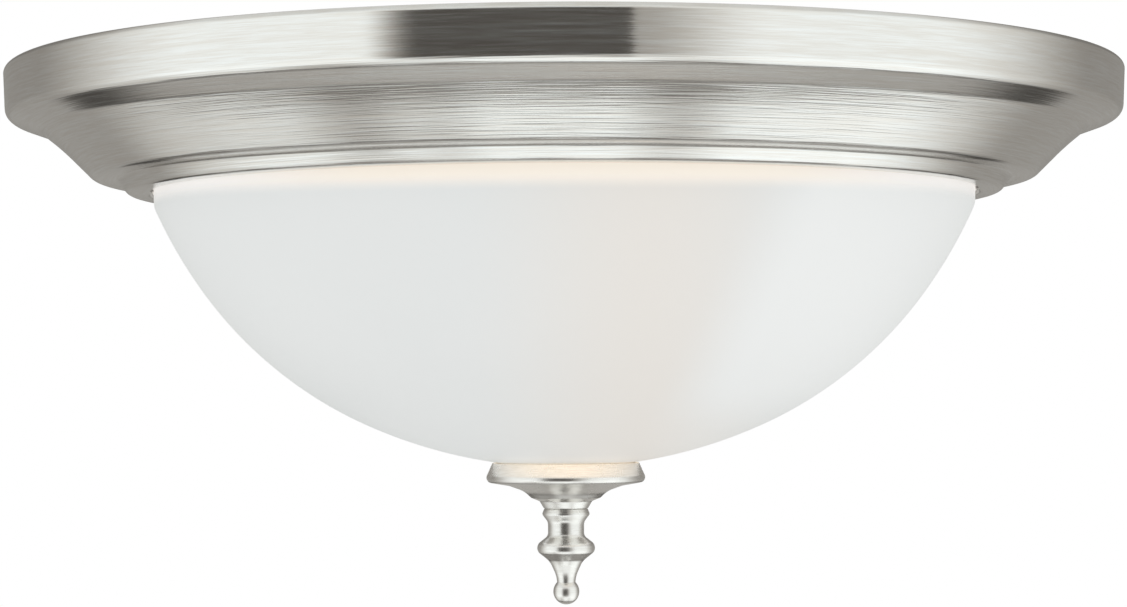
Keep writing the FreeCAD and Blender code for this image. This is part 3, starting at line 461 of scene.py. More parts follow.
# %% Bowl
BOWL_RADIUS, BOWL_WALL, BOWL_HOLE = 121.9, 3.0, 6.6
BOWL_FOOT, BOWL_RIM = -116.9, -29.0
BOWL_OUTSIDE = [
    (BOWL_HOLE, BOWL_FOOT),
    (28.3, BOWL_FOOT, 142.0),
    (89.1, -92.1, 120.5),
    (116.5, -51.4, 136.0),
    (BOWL_RADIUS, -39.4, 6.0),
    (BOWL_RADIUS, BOWL_RIM - BOWL_WALL / 2),
]
RIM_POINTS = 14

outer = evened(rounded_outline(BOWL_OUTSIDE, closed=False, step=1.0), spacing=1.2, closed=False)
inner = inward(outer, -BOWL_WALL)
rim_angle = np.linspace(0, math.pi, RIM_POINTS)[1:-1, None]
rim_middle = (outer[-1] + inner[-1]) / 2
rim = rim_middle + BOWL_WALL / 2 * np.concatenate([np.cos(rim_angle), np.sin(rim_angle)], axis=1)
section = np.concatenate([outer, rim, inner[::-1]])
bowl = grid_piece("opal_bowl", turned_points(section, columns=256), closed_down=True)
put_on(bowl, "bowl", "opal_glass", "glass_bowl")

# %% [markdown]
# ## Cap and finial
# Both are turned from brass bar and plated. The cap is a shallow dish whose rim cups the bowl's foot; below
# it the cap steps in like a small pedestal. The finial is a row of beads and hollows that ends in a ball,
# and it is what the hand turns. Each is one closed outline carried round the axis, so every groove is real
# and not painted.

# %% Cap
CAP_LIP, CAP_FOOT, CAP_BORE = -115.6, -129.3, 3.445
CAP_OUTLINE = [
    (21.0, CAP_LIP), (22.0, CAP_LIP), (24.5, -121.2, 1.6), (17.1, -122.45, 7.0), (12.5, -124.1, 8.0),
    (10.4, -126.1, 0.5), (7.9, -127.1, 0.9), (6.6, CAP_FOOT, 0.5), (CAP_BORE, CAP_FOOT), (CAP_BORE, -127.8),
    (6.0, -126.8, 1.0), (9.3, -124.7, 1.0), (12.0, -122.9, 4.0), (16.8, -121.7, 4.0), (23.3, -120.7, 0.7),
]
cap_line = evened(rounded_outline(CAP_OUTLINE, step=0.1), spacing=0.4)
cap = grid_piece("turned_cap", turned_points(cap_line, columns=192), closed_down=True)
put_on(cap, "cap", "polished_nickel", "bowl_cap")

# %% Finial
BALL_RADIUS, BALL_HEIGHT = 3.9, -154.2
NECK_RADIUS, BORE_RADIUS, FINIAL_TOP = 2.75, 3.235, -129.35
NECK_END = BALL_HEIGHT + math.sqrt(BALL_RADIUS ** 2 - NECK_RADIUS ** 2)
FINIAL_OUTLINE = [
    (0.0, -140.2), (BORE_RADIUS, -139.2), (BORE_RADIUS, FINIAL_TOP), (6.5, FINIAL_TOP, 0.4),
    (7.2, -131.0, 0.9), (5.4, -133.35, 2.8), (5.4, -137.5, 2.0), (8.7, -140.1, 2.2), (8.6, -142.2, 2.0),
    (4.9, -145.2, 5.0), (NECK_RADIUS, -149.9, 9.0), (NECK_RADIUS, NECK_END),
]


def ball_line(start_radius, count=36):
    """The ball's outline from the neck to its lowest point: (R cos t, height + R sin t), t down to -90."""
    angle = np.linspace(math.acos(start_radius / BALL_RADIUS), -math.pi / 2, count)[1:]
    return np.stack([BALL_RADIUS * np.cos(angle), BALL_HEIGHT + BALL_RADIUS * np.sin(angle)], axis=1)


beads = evened(rounded_outline(FINIAL_OUTLINE, closed=False, step=0.08), spacing=0.3, closed=False)
finial_line = np.concatenate([beads, ball_line(NECK_RADIUS)])
finial = grid_piece("turned_finial", turned_points(finial_line, columns=128), closed_down=False)
put_on(finial, "finial", "polished_nickel", "finial")

# %% [markdown]
# ## Threads
# A screw thread is a surface of revolution whose radius depends on height and angle together: after one turn
# the pattern has climbed by one pitch. That one line of arithmetic makes the fine V thread of the rod and of
# the screws, and, with a rounded wave in place of the V, the coarse thread that is rolled into lamp bases.

# %% Thread formula
INCH = 25.4
V_CREST = 0.14


def v_thread(phase):
    """How deep a V groove is at each phase of its turn: 0 on the flat crest, 1 at the root."""
    return np.clip((np.abs(2 * phase - 1) - V_CREST) / (1 - V_CREST), 0, 1)


def threaded_points(crest, depth, pitch, low, high, chamfer, columns=24, per_pitch=10):
    """A stud in mm: radius = crest - depth * v(height / pitch - angle / 2 pi), drawn in at both ends."""
    height = np.linspace(low, high, int((high - low) / pitch * per_pitch))[:, None]
    angle = round_angles(columns)
    radius = crest - depth * v_thread((height / pitch - angle / (2 * math.pi)) % 1.0)
    radius = np.minimum(radius, crest - chamfer + np.minimum(height - low, high - height))
    radius = np.pad(radius, ((1, 1), (0, 0)))
    return carried_round(radius, angle, np.pad(height, ((1, 1), (0, 0)), mode="edge"))

# %% Rod
ROD_RADIUS, ROD_TOP, ROD_END = 3.175, -8.0, -137.2
ROD_PITCH, ROD_THREAD, ROD_CHAMFER = INCH / 27, 0.55, 0.6
rod_points = threaded_points(ROD_RADIUS, ROD_THREAD, ROD_PITCH, ROD_END, ROD_TOP, ROD_CHAMFER)
put_on(joined_piece("threaded_rod", [rod_points]), "fixture", "rod_steel", "centre_rod")

# %% Lamp bases and screw shells
LAMP_OFFSET, LAMP_DROP = 38.0, 52.0
ROLLED_PITCH = INCH / 7
ROLLED_FROM = 12.0
LAMP_COLUMNS = 72
BASE_RADIUS = 13.05
BASE_OUTLINE = [(0.0, -53.0), (8.8, -53.0), (BASE_RADIUS, -50.4, 1.2), (BASE_RADIUS, -34.5, 0.4),
                (0.0, -34.5)]
BASE_THREAD = (0.8, -50.4, -35.5)
SHELL_OUTER, SHELL_INNER = 14.0, 13.55
SHELL_OUTLINE = [(9.5, -62.9), (SHELL_OUTER, -62.9, 1.0), (SHELL_OUTER, -37.0), (SHELL_INNER, -37.0),
                 (SHELL_INNER, -62.45, 0.6), (9.5, -62.45)]
SHELL_THREAD = (0.35, -60.0, -38.0)


def rolled_thread(depth, start, end):
    """A rounded thread rolled into a wall: -depth (1 + cos(2 pi s / pitch - a)) / 2, fading at its ends."""
    def wobble(angle, outline):
        along = outline[:, 1:]
        fade = np.clip((along - start) / 2.0, 0, 1) * np.clip((end - along) / 1.5, 0, 1)
        wave = 0.5 + 0.5 * np.cos(2 * math.pi * along / ROLLED_PITCH - angle)
        return -depth * fade * (outline[:, :1] > ROLLED_FROM) * wave
    return wobble


def on_lamp_axis(points, turned):
    """Lay a piece that was turned upright along a lamp's axis: z becomes x, x becomes y and y becomes z."""
    laid = points[..., [2, 0, 1]] + np.array([0.0, -LAMP_OFFSET, -LAMP_DROP]) * MM
    return laid * (np.array([-1, -1, 1]) if turned else 1)


base_line = evened(rounded_outline(BASE_OUTLINE, closed=False), spacing=0.3, closed=False)
shell_line = evened(rounded_outline(SHELL_OUTLINE), spacing=0.3)
for side, turned in (("left", False), ("right", True)):
    base = turned_points(base_line, LAMP_COLUMNS, rolled_thread(*BASE_THREAD))
    piece = grid_piece(f"rolled_base_{side}", on_lamp_axis(base, turned), closed_down=False)
    put_on(piece, f"lamp_{side}", "lamp_metal", f"lamp_base_{side}")
    shell = turned_points(shell_line, LAMP_COLUMNS, rolled_thread(*SHELL_THREAD))
    piece = grid_piece(f"rolled_shell_{side}", on_lamp_axis(shell, turned), closed_down=True)
    put_on(piece, "fixture", "brass", f"screw_shell_{side}")

# %% [markdown]
# ## Small fasteners
# Nuts and screws are what the eye uses to judge scale, so they get their true forms: a hexagon whose corners
# are cut by a cone, and a pan head with a cross recess. Each is a grid round its own axis that is then set
# in place.

# %% Setting a grid in place
def set_at(points, place, up):
    """Turn a grid so that its own z points along up, one of the axes, and move it to a place in mm."""
    up = np.array(up, float)
    side = np.roll(up, 1)
    axes = np.stack([side, np.cross(up, side), up])
    return points @ axes + np.array(place) * MM

# %% Nuts
NUT_FLATS, NUT_HEIGHT = 11.1, 5.2
NUT_LOWS = (-23.1, -15.0)
NUT_CONE = math.tan(math.radians(30))
NUT_FACE_SHARE = 0.97
NUT_STEPS = np.linspace(0, 0.6, 7)
NUT_GAP = 0.02
SIXTH = math.pi / 3


def nut_points(columns=120):
    """A hexagon nut: flats at (half flats) / cos(a folded into a sixth), cut by a 30 degree cone."""
    angle = round_angles(columns)
    flats = NUT_FLATS / 2 / np.cos(angle % SIXTH - SIXTH / 2)
    depth = np.concatenate([[0.0], NUT_STEPS, [NUT_HEIGHT / 2], NUT_HEIGHT - NUT_STEPS[::-1],
                            [NUT_HEIGHT, 0.0]])[:, None]
    into = np.minimum(depth, NUT_HEIGHT - depth)
    radius = np.minimum(flats, NUT_FLATS / 2 * NUT_FACE_SHARE + into / NUT_CONE)
    radius[[0, -2, -1]] = ROD_RADIUS + NUT_GAP
    return carried_round(radius, angle, depth)


nuts = joined_piece("chamfered_nuts", [set_at(nut_points(), (0, 0, low), (0, 0, 1)) for low in NUT_LOWS])
put_on(nuts, "fixture", "zinc_steel", "rod_nuts")

# %% Cross-recess screws
RECESS_ARM, RECESS_REACH, RECESS_DEPTH = 0.52, 0.56, 0.62
ARM_SLOPE, END_SLOPE = 0.2, 0.5
SCREW_PITCH, SCREW_THREAD, SCREW_CHAMFER, UNDER_HEAD = 0.8, 0.25, 0.4, 0.02
BAR_SCREW = dict(radius=4.4, height=2.6, shank=2.05, reach=16.7)
BACK_SCREW = dict(radius=3.2, height=2.0, shank=1.5, reach=8.0)
BAR_SCREW_REACH, BAR_SCREW_DROP = 54.0, 17.0
BACK_REACH, BACK_SPREAD = 80.2, 7.5


def screw_head(radius, height, rings=26, columns=120):
    """A pan head of height (1 - 0.5 (r/R)^4), less a cross: min(|x|, |y|) < arm and max(|x|, |y|) < reach."""
    share = np.linspace(1, 0, rings)[:, None]
    angle = round_angles(columns)
    x, y = radius * share * np.cos(angle), radius * share * np.sin(angle)
    narrow, far = np.minimum(np.abs(x), np.abs(y)), np.maximum(np.abs(x), np.abs(y))
    in_arm = np.clip((RECESS_ARM - narrow) / ARM_SLOPE + 0.5, 0, 1)
    in_reach = np.clip((RECESS_REACH * radius - far) / END_SLOPE + 0.5, 0, 1)
    top = height * (1 - 0.5 * share ** 4) - RECESS_DEPTH * height * (in_arm * in_reach)
    x, y = (np.concatenate([row[:1] * 0, row[:1], row]) for row in (x, y))
    top = np.concatenate([0 * top[:1], 0 * top[:1], top])
    return np.stack([x, y, top], axis=-1) * MM


def screws(name, places, ways, radius, height, shank, reach):
    """Screws with their heads at the places and their threaded shanks behind them."""
    head = screw_head(radius, height)
    stud = threaded_points(shank, SCREW_THREAD, SCREW_PITCH, -reach, -UNDER_HEAD, SCREW_CHAMFER,
                           columns=20, per_pitch=8)
    return joined_piece(name, [set_at(grid, place, way)
                               for place, way in zip(places, ways) for grid in (head, stud)])


bar_places = [(way * BAR_SCREW_REACH, 0, -BAR_SCREW_DROP) for way in (1, -1)]
bar_screws = screws("pan_head_screws", bar_places, [(0, 0, -1)] * 2, **BAR_SCREW)
put_on(bar_screws, "fixture", "zinc_steel", "mounting_screws")
back_places = [(way * BACK_REACH, way * (LAMP_OFFSET + spread), -LAMP_DROP)
               for way in (-1, 1) for spread in (-BACK_SPREAD, BACK_SPREAD)]
back_ways = [(-1, 0, 0)] * 2 + [(1, 0, 0)] * 2
back_screws = screws("holder_back_screws", back_places, back_ways, **BACK_SCREW)
put_on(back_screws, "fixture", "zinc_steel", "holder_screws")

# %% [markdown]
# ## Twist-on connectors
# A moulded cone with flutes for the fingers. The flutes are a wave round the angle that fades at the mouth
# and at the tip.

# %% Connectors
CONNECTOR_DROP = 8.8
FLUTES, FLUTE_DEPTH = 14, 0.45
FLUTE_START, FLUTE_END, FLUTE_FROM = 23.0, 37.0, 3.4
CONNECTOR_LINE = [(0.0, 28.0), (3.3, 27.0), (3.3, 20.0), (5.6, 20.0, 0.5), (5.6, 24.0, 3.0),
                  (4.0, 36.0, 2.0), (3.0, 38.0, 0.8), (0.0, 38.0)]


def fluted(angle, outline):
    """Hollows between the flutes: -depth (1 + cos(n a)) / 2, fading in over 3 mm past the plain skirt."""
    along = outline[:, 1:]
    fade = np.clip((along - FLUTE_START) / 3.0, 0, 1) * np.clip((FLUTE_END - along) / 2.0, 0, 1)
    return -FLUTE_DEPTH * fade * (outline[:, :1] > FLUTE_FROM) * (0.5 + 0.5 * np.cos(FLUTES * angle))


cone_line = evened(rounded_outline(CONNECTOR_LINE, closed=False), spacing=0.5, closed=False)
cone = turned_points(cone_line, columns=140, wobble=fluted)
cones = [set_at(cone, (0, 0, -CONNECTOR_DROP), (0, way, 0)) for way in (1, -1)]
put_on(joined_piece("fluted_connectors", cones), "fixture", "connector_plastic", "wire_connectors")

# %% [markdown]
# ## The wool pad
# A ring of pressed glass wool keeps the lamps' heat from the ceiling. It is punched round the bushings and
# the rivets. A flat ring of points is bent slightly out of plane, the points near a hole are drawn onto its
# circle, the faces inside it are left out, and a Solidify modifier gives the sheet its thickness.

# %% Sizes and lumps of the pad
PAD_INNER, PAD_OUTER = 62.3, 94.7
PAD_MIDDLE, PAD_THICKNESS = -13.5, 4.9
PAD_RINGS, PAD_COLUMNS = 44, 450
PULL_SHARE, PULL_MORE = 0.62, 0.25
BUSHING_X, BUSHING_Y, BUSHING_HOLE = 71.0, 6.0, 8.5
RIVET_X, RIVET_ROWS, RIVET_HOLE = 66.0, (32.0, 44.0), 3.9
PAD_HOLES = [(way * BUSHING_X, way * BUSHING_Y, BUSHING_HOLE) for way in (-1, 1)]
PAD_HOLES += [(way * RIVET_X, way * row, RIVET_HOLE) for way in (-1, 1) for row in RIVET_ROWS]
LUMP_HEIGHT = 0.083
LUMP_WAVES = ((0.27, 0.11, 0.4), (-0.19, 0.31, 1.9), (0.55, 0.42, 3.1))


def lumps(x, y):
    """Soft lumps of up to a quarter of a millimetre: three crossed waves with lengths of 9 to 22 mm."""
    return LUMP_HEIGHT * sum(np.sin(a * x + b * y + c) for a, b, c in LUMP_WAVES)

# %% Pad
ring = np.linspace(PAD_INNER, PAD_OUTER, PAD_RINGS)[:, None]
angle = round_angles(PAD_COLUMNS)
x, y = ring * np.cos(angle), ring * np.sin(angle)
reach = PULL_SHARE * (PAD_OUTER - PAD_INNER) / (PAD_RINGS - 1) + PULL_MORE
cut = np.zeros(x.shape, bool)
for hole_x, hole_y, hole_radius in PAD_HOLES:
    gap = np.hypot(x - hole_x, y - hole_y)
    near = np.abs(gap - hole_radius) < reach
    pull = np.where(near, hole_radius / gap, 1.0)
    x, y = hole_x + (x - hole_x) * pull, hole_y + (y - hole_y) * pull
    cut |= (gap < hole_radius) & ~near
faces = grid_faces(PAD_RINGS, PAD_COLUMNS)
faces = faces[~cut.ravel()[faces].any(axis=1)]
points = np.stack([x, y, PAD_MIDDLE + lumps(x, y)], axis=-1) * MM
pad = finished("wool_pad", points.reshape(-1, 3), faces)
wall = pad.modifiers.new("thickness", "SOLIDIFY")
wall.thickness = PAD_THICKNESS * MM
wall.offset = 0.0
put_on(pad, "fixture", "glass_wool", "insulation_pad")

# %% [markdown]
# ## Finishes
# Each finish is one function that fills a material. What more than one finish uses is a group: the fine
# lines that a brush leaves, the clouds of handling, and specks.

# %% Steps inside the groups
def in_sizes(group, vector, size):
    """The place counted in sizes: it grows by one over each length of that size in metres."""
    return add_node(group, "ShaderNodeVectorMath", {"operation": "SCALE"}, Vector=vector,
                    Scale=maths(group, "DIVIDE", 1.0, size)).outputs[0]


def noise(group, place, **values):
    """Soft noise from 0 to 1, with features about one unit of the place across."""
    return add_node(group, "ShaderNodeTexNoise", Vector=place, Scale=1.0, **values).outputs["Fac"]

# %% Group: turned brush lines
def brush_group():
    """Lines round the upright axis: noise of (x / length, y / length, (r + z) / width).

    The sum r + z grows steadily along every slope of a turned piece, so the lines keep their width on a
    wall, on a slope and on a flat. The relief leaves the finest noise out: lines thinner than a picture
    point would tilt the surface sideways too, and then reflections would blur along the brush direction.
    """
    group, inputs, outputs = new_group(
        "turned brush lines", {"Vector": "Vector", "Width": "Float", "Length": "Float"},
        {"Height": "Float", "Mask": "Float"})
    parts = add_node(group, "ShaderNodeSeparateXYZ", Vector=inputs["Vector"]).outputs
    along = maths(group, "ADD", from_axis(group, parts), parts[2])
    place = add_node(group, "ShaderNodeCombineXYZ",
                     X=maths(group, "DIVIDE", parts[0], inputs["Length"]),
                     Y=maths(group, "DIVIDE", parts[1], inputs["Length"]),
                     Z=maths(group, "DIVIDE", along, inputs["Width"])).outputs[0]
    fine = noise(group, place, Detail=3.0, Roughness=0.65)
    give(group, outputs, Height=noise(group, place, Detail=0.3), Mask=ramp(group, fine, 0.35, 0.68))
    return group

# %% Group: clouds and specks
def cloud_group():
    """Slow uneven clouds and small specks over any surface, each as a mask from 0 to 1."""
    group, inputs, outputs = new_group(
        "clouds and specks", {"Vector": "Vector", "Cloud Size": "Float", "Speck Size": "Float"},
        {"Clouds": "Float", "Specks": "Float"})
    clouds = noise(group, in_sizes(group, inputs["Vector"], inputs["Cloud Size"]), Detail=4.0, Roughness=0.55)
    specks = noise(group, in_sizes(group, inputs["Vector"], inputs["Speck Size"]), Detail=2.0)
    give(group, outputs, Clouds=ramp(group, clouds, 0.3, 0.7), Specks=ramp(group, specks, 0.62, 0.75))
    return group

# %% Group: grain and rubbing
def grain_group():
    """A fine grain as relief, and a mask of rubbed places where slow clouds meet the grain's high spots."""
    group, inputs, outputs = new_group(
        "grain and rubbing", {"Vector": "Vector", "Grain Size": "Float", "Rub Size": "Float"},
        {"Height": "Float", "Rubbed": "Float"})
    grain, clouds = (noise(group, in_sizes(group, inputs["Vector"], inputs[size]), Detail=3.0, Roughness=0.6)
                     for size in ("Grain Size", "Rub Size"))
    rubbed = times(group, ramp(group, clouds, 0.45, 0.62), ramp(group, grain, 0.40, 0.62))
    give(group, outputs, Height=grain, Rubbed=rubbed)
    return group

# %% Group: zinc crystals
def spangle_group():
    """Crystals of a zinc plate: cells that are each a little lighter or darker."""
    group, inputs, outputs = new_group(
        "zinc crystals", {"Vector": "Vector", "Cell Size": "Float"}, {"Shade": "Float"})
    near = in_sizes(group, inputs["Vector"], inputs["Cell Size"])
    cells = add_node(group, "ShaderNodeTexVoronoi", Vector=near, Scale=1.0)
    parts = add_node(group, "ShaderNodeSeparateColor", Color=cells.outputs["Color"])
    give(group, outputs, Shade=parts.outputs[0])
    return group

# %% Group: pressed fibres
FIBRE_TURNS = (0.3, 1.4, 2.5)
FIBRE_STRETCH = (30.0, 1.0, 1.6)


def fibre_group():
    """Pressed fibres: noise stretched thirtyfold along three crossed directions, with the highest on top."""
    group, inputs, outputs = new_group(
        "pressed fibres", {"Vector": "Vector", "Fibre Width": "Float"}, {"Height": "Float", "Mask": "Float"})
    near = in_sizes(group, inputs["Vector"], inputs["Fibre Width"])
    height = 0.0
    for turn_about_z in FIBRE_TURNS:
        laid = add_node(group, "ShaderNodeMapping", {"vector_type": "TEXTURE"}, Vector=near,
                        Rotation=(0.0, 0.0, turn_about_z), Scale=FIBRE_STRETCH).outputs[0]
        height = maths(group, "MAXIMUM", height, noise(group, laid, Detail=2.0, Distortion=0.4))
    give(group, outputs, Height=height, Mask=ramp(group, height, 0.5, 0.72))
    return group

# %% Make the groups
BRUSHED = brush_group()
CLOUDED = cloud_group()
GRAINED = grain_group()
SPANGLED = spangle_group()
FIBROUS = fibre_group()
print(len(bpy.data.node_groups), "groups")

# %% Start of every finish
def new_finish(name):
    """An empty material, its tree, its shader and the object's own coordinates."""
    material = bpy.data.materials.new(name)
    material.use_nodes = True
    tree = material.node_tree
    shader = tree.nodes["Principled BSDF"]
    place = tree.nodes.new("ShaderNodeTexCoord").outputs["Object"]
    return material, tree, shader, place


def bump(tree, shader, height, distance):
    """Small relief, with its depth in metres."""
    node = add_node(tree, "ShaderNodeBump", Height=height, Distance=distance, Strength=1.0)
    give(tree, shader.inputs, Normal=node.outputs["Normal"])

# %% Nickel
QUARTER_TURN = 0.25


def satin_nickel():
    """Brushed nickel plate: pale warm grey, blurred across the brush lines and sharp along them."""
    material, tree, shader, place = new_finish("satin_nickel")
    fine = use_group(tree, BRUSHED, place, Width=0.00055, Length=0.016)
    broad = use_group(tree, BRUSHED, place, Width=0.0014, Length=0.050)
    clouds = use_group(tree, CLOUDED, place, Cloud_Size=0.05, Speck_Size=0.0006)
    lines = maths(tree, "ADD", times(tree, fine["Mask"], 0.6), times(tree, broad["Mask"], 0.4))
    rough = maths(tree, "ADD", times(tree, lines, 0.04), times(tree, clouds["Clouds"], 0.01))
    give(tree, shader.inputs, Base_Color=tint(tree, lines, (0.80, 0.77, 0.725), (0.90, 0.91, 0.90)),
         Roughness=maths(tree, "ADD", rough, 0.13), Metallic=1.0, Anisotropic=1.0,
         Anisotropic_Rotation=QUARTER_TURN)
    bump(tree, shader, maths(tree, "ADD", fine["Height"], times(tree, broad["Height"], 0.7)), 0.000060)
    return material


def polished_nickel():
    """The same plate buffed brighter, on the cap and the finial."""
    material, tree, shader, place = new_finish("polished_nickel")
    fine = use_group(tree, BRUSHED, place, Width=0.00016, Length=0.004)
    clouds = use_group(tree, CLOUDED, place, Cloud_Size=0.012, Speck_Size=0.0004)
    give(tree, shader.inputs, Base_Color=tint(tree, fine["Mask"], (0.85, 0.835, 0.80), (0.94, 0.93, 0.91)),
         Roughness=maths(tree, "ADD", times(tree, clouds["Clouds"], 0.04), 0.26), Metallic=1.0)
    bump(tree, shader, fine["Height"], 0.000002)
    return material

# %% Opal glass
# Places of the painted glow on the opal bowl, in metres: its warm band, brighter right side, rim line and warm
# foot.
PAINTED_GLOW_BAND_MIDDLE, PAINTED_GLOW_BAND_HALF = 0.022, 0.052
PAINTED_LIT_SIDE_LEAN = 0.45
PAINTED_LIT_SIDE_EDGE, PAINTED_LIT_SIDE_FADE, PAINTED_LIT_SIDE_FOOT = (0.066, 0.090), (0.070, 0.115), (-0.108, -0.092)
PAINTED_RIM_GLOW_SPREAD = (0.045, 0.105)
PAINTED_RIM_GLOW_RISE, PAINTED_RIM_GLOW_EDGE = 0.17, (-0.0424, -0.0378)
PAINTED_FOOT_GLOW_EDGE = (0.0255, 0.0365)


def near_spot(tree, place, spot, start, end):
    """One close to the spot, falling to nothing at the distance end."""
    gap = add_node(tree, "ShaderNodeVectorMath", {"operation": "DISTANCE"}, Vector=place)
    gap.inputs[1].default_value = spot
    return ramp(tree, gap.outputs["Value"], start, end, 1.0, 0.0)


def opal_glass():
    """White flashed glass with a painted glow from inside: a rim line, a warm band, a brighter right side, a
    warm foot.

    The painted bright side ends along a slanting line, x - 0.45 z = constant, and the painted rim line rises
    as 0.17 x^2.
    The painted foot glow is weaker at a glancing view, as light through a milky wall is.
    """
    material, tree, shader, place = new_finish("opal_glass")
    parts = add_node(tree, "ShaderNodeSeparateXYZ", Vector=place).outputs
    x, z = parts[0], parts[2]
    clouds = use_group(tree, CLOUDED, place, Cloud_Size=0.06, Speck_Size=0.0015)
    # The bowl's emission is a painted glow that stands in for the lamps' light coming through the glass.
    light = tint(tree, clouds["Clouds"], (0.220, 0.237, 0.231), (0.228, 0.243, 0.237))
    # Painted warm band of light running up and down the bowl near its middle.
    light = tint(tree, bell(tree, x, PAINTED_GLOW_BAND_MIDDLE, PAINTED_GLOW_BAND_HALF), light, (0.252, 0.226, 0.186))
    # Painted brighter right side of the bowl, ending along a slanting line and fading towards the foot.
    slanting = maths(tree, "SUBTRACT", x, times(tree, z, PAINTED_LIT_SIDE_LEAN))
    painted_lit_side = times(tree, ramp(tree, slanting, *PAINTED_LIT_SIDE_EDGE), ramp(tree, x, *PAINTED_LIT_SIDE_FADE, 1.0, 0.6),
                       ramp(tree, z, *PAINTED_LIT_SIDE_FOOT, 0.3, 1.0))
    light = tint(tree, painted_lit_side, light, (0.290, 0.304, 0.296))
    # Painted rim line of light just under the pan's lip, warm near the middle and plainer to the sides.
    off_centre = ramp(tree, maths(tree, "ABSOLUTE", x), *PAINTED_RIM_GLOW_SPREAD)
    rim_light = tint(tree, off_centre, (0.46, 0.39, 0.30), (0.46, 0.44, 0.42))
    raised = maths(tree, "SUBTRACT", z, times(tree, maths(tree, "POWER", x, 2.0), PAINTED_RIM_GLOW_RISE))
    light = tint(tree, ramp(tree, raised, *PAINTED_RIM_GLOW_EDGE), light, rim_light)
    # Painted warm glow at the bowl's foot round the cap, there for the cap to reflect.
    steep = add_node(tree, "ShaderNodeLayerWeight", Blend=0.5).outputs["Facing"]
    faced = maths(tree, "POWER", maths(tree, "SUBTRACT", 1.0, steep), 2.0)
    foot = times(tree, ramp(tree, from_axis(tree, parts), *PAINTED_FOOT_GLOW_EDGE, 1.0, 0.0), faced)
    light = tint(tree, foot, light, (1.50, 1.15, 0.76))
    give(tree, shader.inputs, Base_Color=(0.60, 0.60, 0.60, 1.0), Emission_Color=light, Emission_Strength=1.0,
         Roughness=0.42, Specular_IOR_Level=0.10)
    return material

# %% Lit lamp glass
FILAMENT_REACH, FILAMENT_GLOW = 0.018, (0.018, 0.048)


def frosted_glass():
    """A frosted lamp that is switched on: warm white, brightest round the filament, dimmer at the neck."""
    material, tree, shader, place = new_finish("frosted_glass")
    grain = use_group(tree, GRAINED, place, Grain_Size=0.0004, Rub_Size=0.02)
    light = tint(tree, grain["Rubbed"], (0.16, 0.10, 0.05), (0.19, 0.12, 0.06))
    for way in (-1, 1):
        filament = (-way * FILAMENT_REACH, way * LAMP_OFFSET * MM, -LAMP_DROP * MM)
        light = tint(tree, near_spot(tree, place, filament, *FILAMENT_GLOW), light, (0.42, 0.34, 0.22))
    give(tree, shader.inputs, Base_Color=(0.60, 0.58, 0.54, 1.0), Emission_Color=light, Emission_Strength=1.0,
         Roughness=0.4)
    bump(tree, shader, grain["Height"], 0.000010)
    return material

# %% [markdown]
# ## Finishes of the inner pieces
# Enamel, porcelain, rubber, nylon and insulation are all the same graph with other values: two close colours
# in slow clouds, a fine grain in relief, dust in the specks, and places rubbed smoother. Bare and plated
# metals use it too, with a metallic shader and, on zinc, with crystals.

# %% One graph for many finishes
DUST = (0.55, 0.52, 0.47)
CLOUD_GRAINS, SPECK_GRAINS, RUB_GRAINS = 25, 1.5, 30
CLOUD_SHARE, CRYSTAL_SHARE = 0.4, 0.6
RUB_MIDDLE, RUB_RANGE = 0.06, 0.10


def fine_finish(name, deep, pale, gloss, grain, relief, metallic=0.0, coat=0.0, dust=0.25, crystals=0.0):
    """Two close colours in clouds, a grain of that size and relief in metres, dust, and rubbed places."""
    material, tree, shader, place = new_finish(name)
    clouds = use_group(tree, CLOUDED, place, Cloud_Size=grain * CLOUD_GRAINS,
                       Speck_Size=grain * SPECK_GRAINS)
    surface = use_group(tree, GRAINED, place, Grain_Size=grain, Rub_Size=grain * RUB_GRAINS)
    mix = clouds["Clouds"]
    if crystals:
        cells = use_group(tree, SPANGLED, place, Cell_Size=crystals)
        mix = maths(tree, "ADD", times(tree, mix, CLOUD_SHARE), times(tree, cells["Shade"], CRYSTAL_SHARE))
    colour = tint(tree, mix, deep, pale)
    colour = tint(tree, times(tree, clouds["Specks"], dust), colour, DUST)
    uneven = maths(tree, "SUBTRACT", gloss + RUB_MIDDLE, times(tree, surface["Rubbed"], RUB_RANGE))
    give(tree, shader.inputs, Base_Color=colour, Roughness=uneven, Metallic=metallic, Coat_Weight=coat)
    bump(tree, shader, surface["Height"], relief)
    return material

# %% Glass wool
def glass_wool():
    """Yellowish pressed fibres with deep gaps between them, the gaps painted darker as painted shade."""
    material, tree, shader, place = new_finish("glass_wool")
    fibres = use_group(tree, FIBROUS, place, Fibre_Width=0.0004)
    clouds = use_group(tree, CLOUDED, place, Cloud_Size=0.015, Speck_Size=0.001)
    # Low places between the fibres take the deep colour: painted shade in the gaps, besides the relief.
    colour = tint(tree, fibres["Mask"], (0.62, 0.52, 0.28), (0.92, 0.87, 0.66))
    colour = tint(tree, times(tree, clouds["Clouds"], 0.3), colour, (0.80, 0.70, 0.44))
    give(tree, shader.inputs, Base_Color=colour, Roughness=0.95)
    bump(tree, shader, fibres["Height"], 0.0006)
    return material

# %% [markdown]
# ## Dressing the pieces
# Every piece, new or from the model, takes the material of its slot. Colours go from deep to pale.

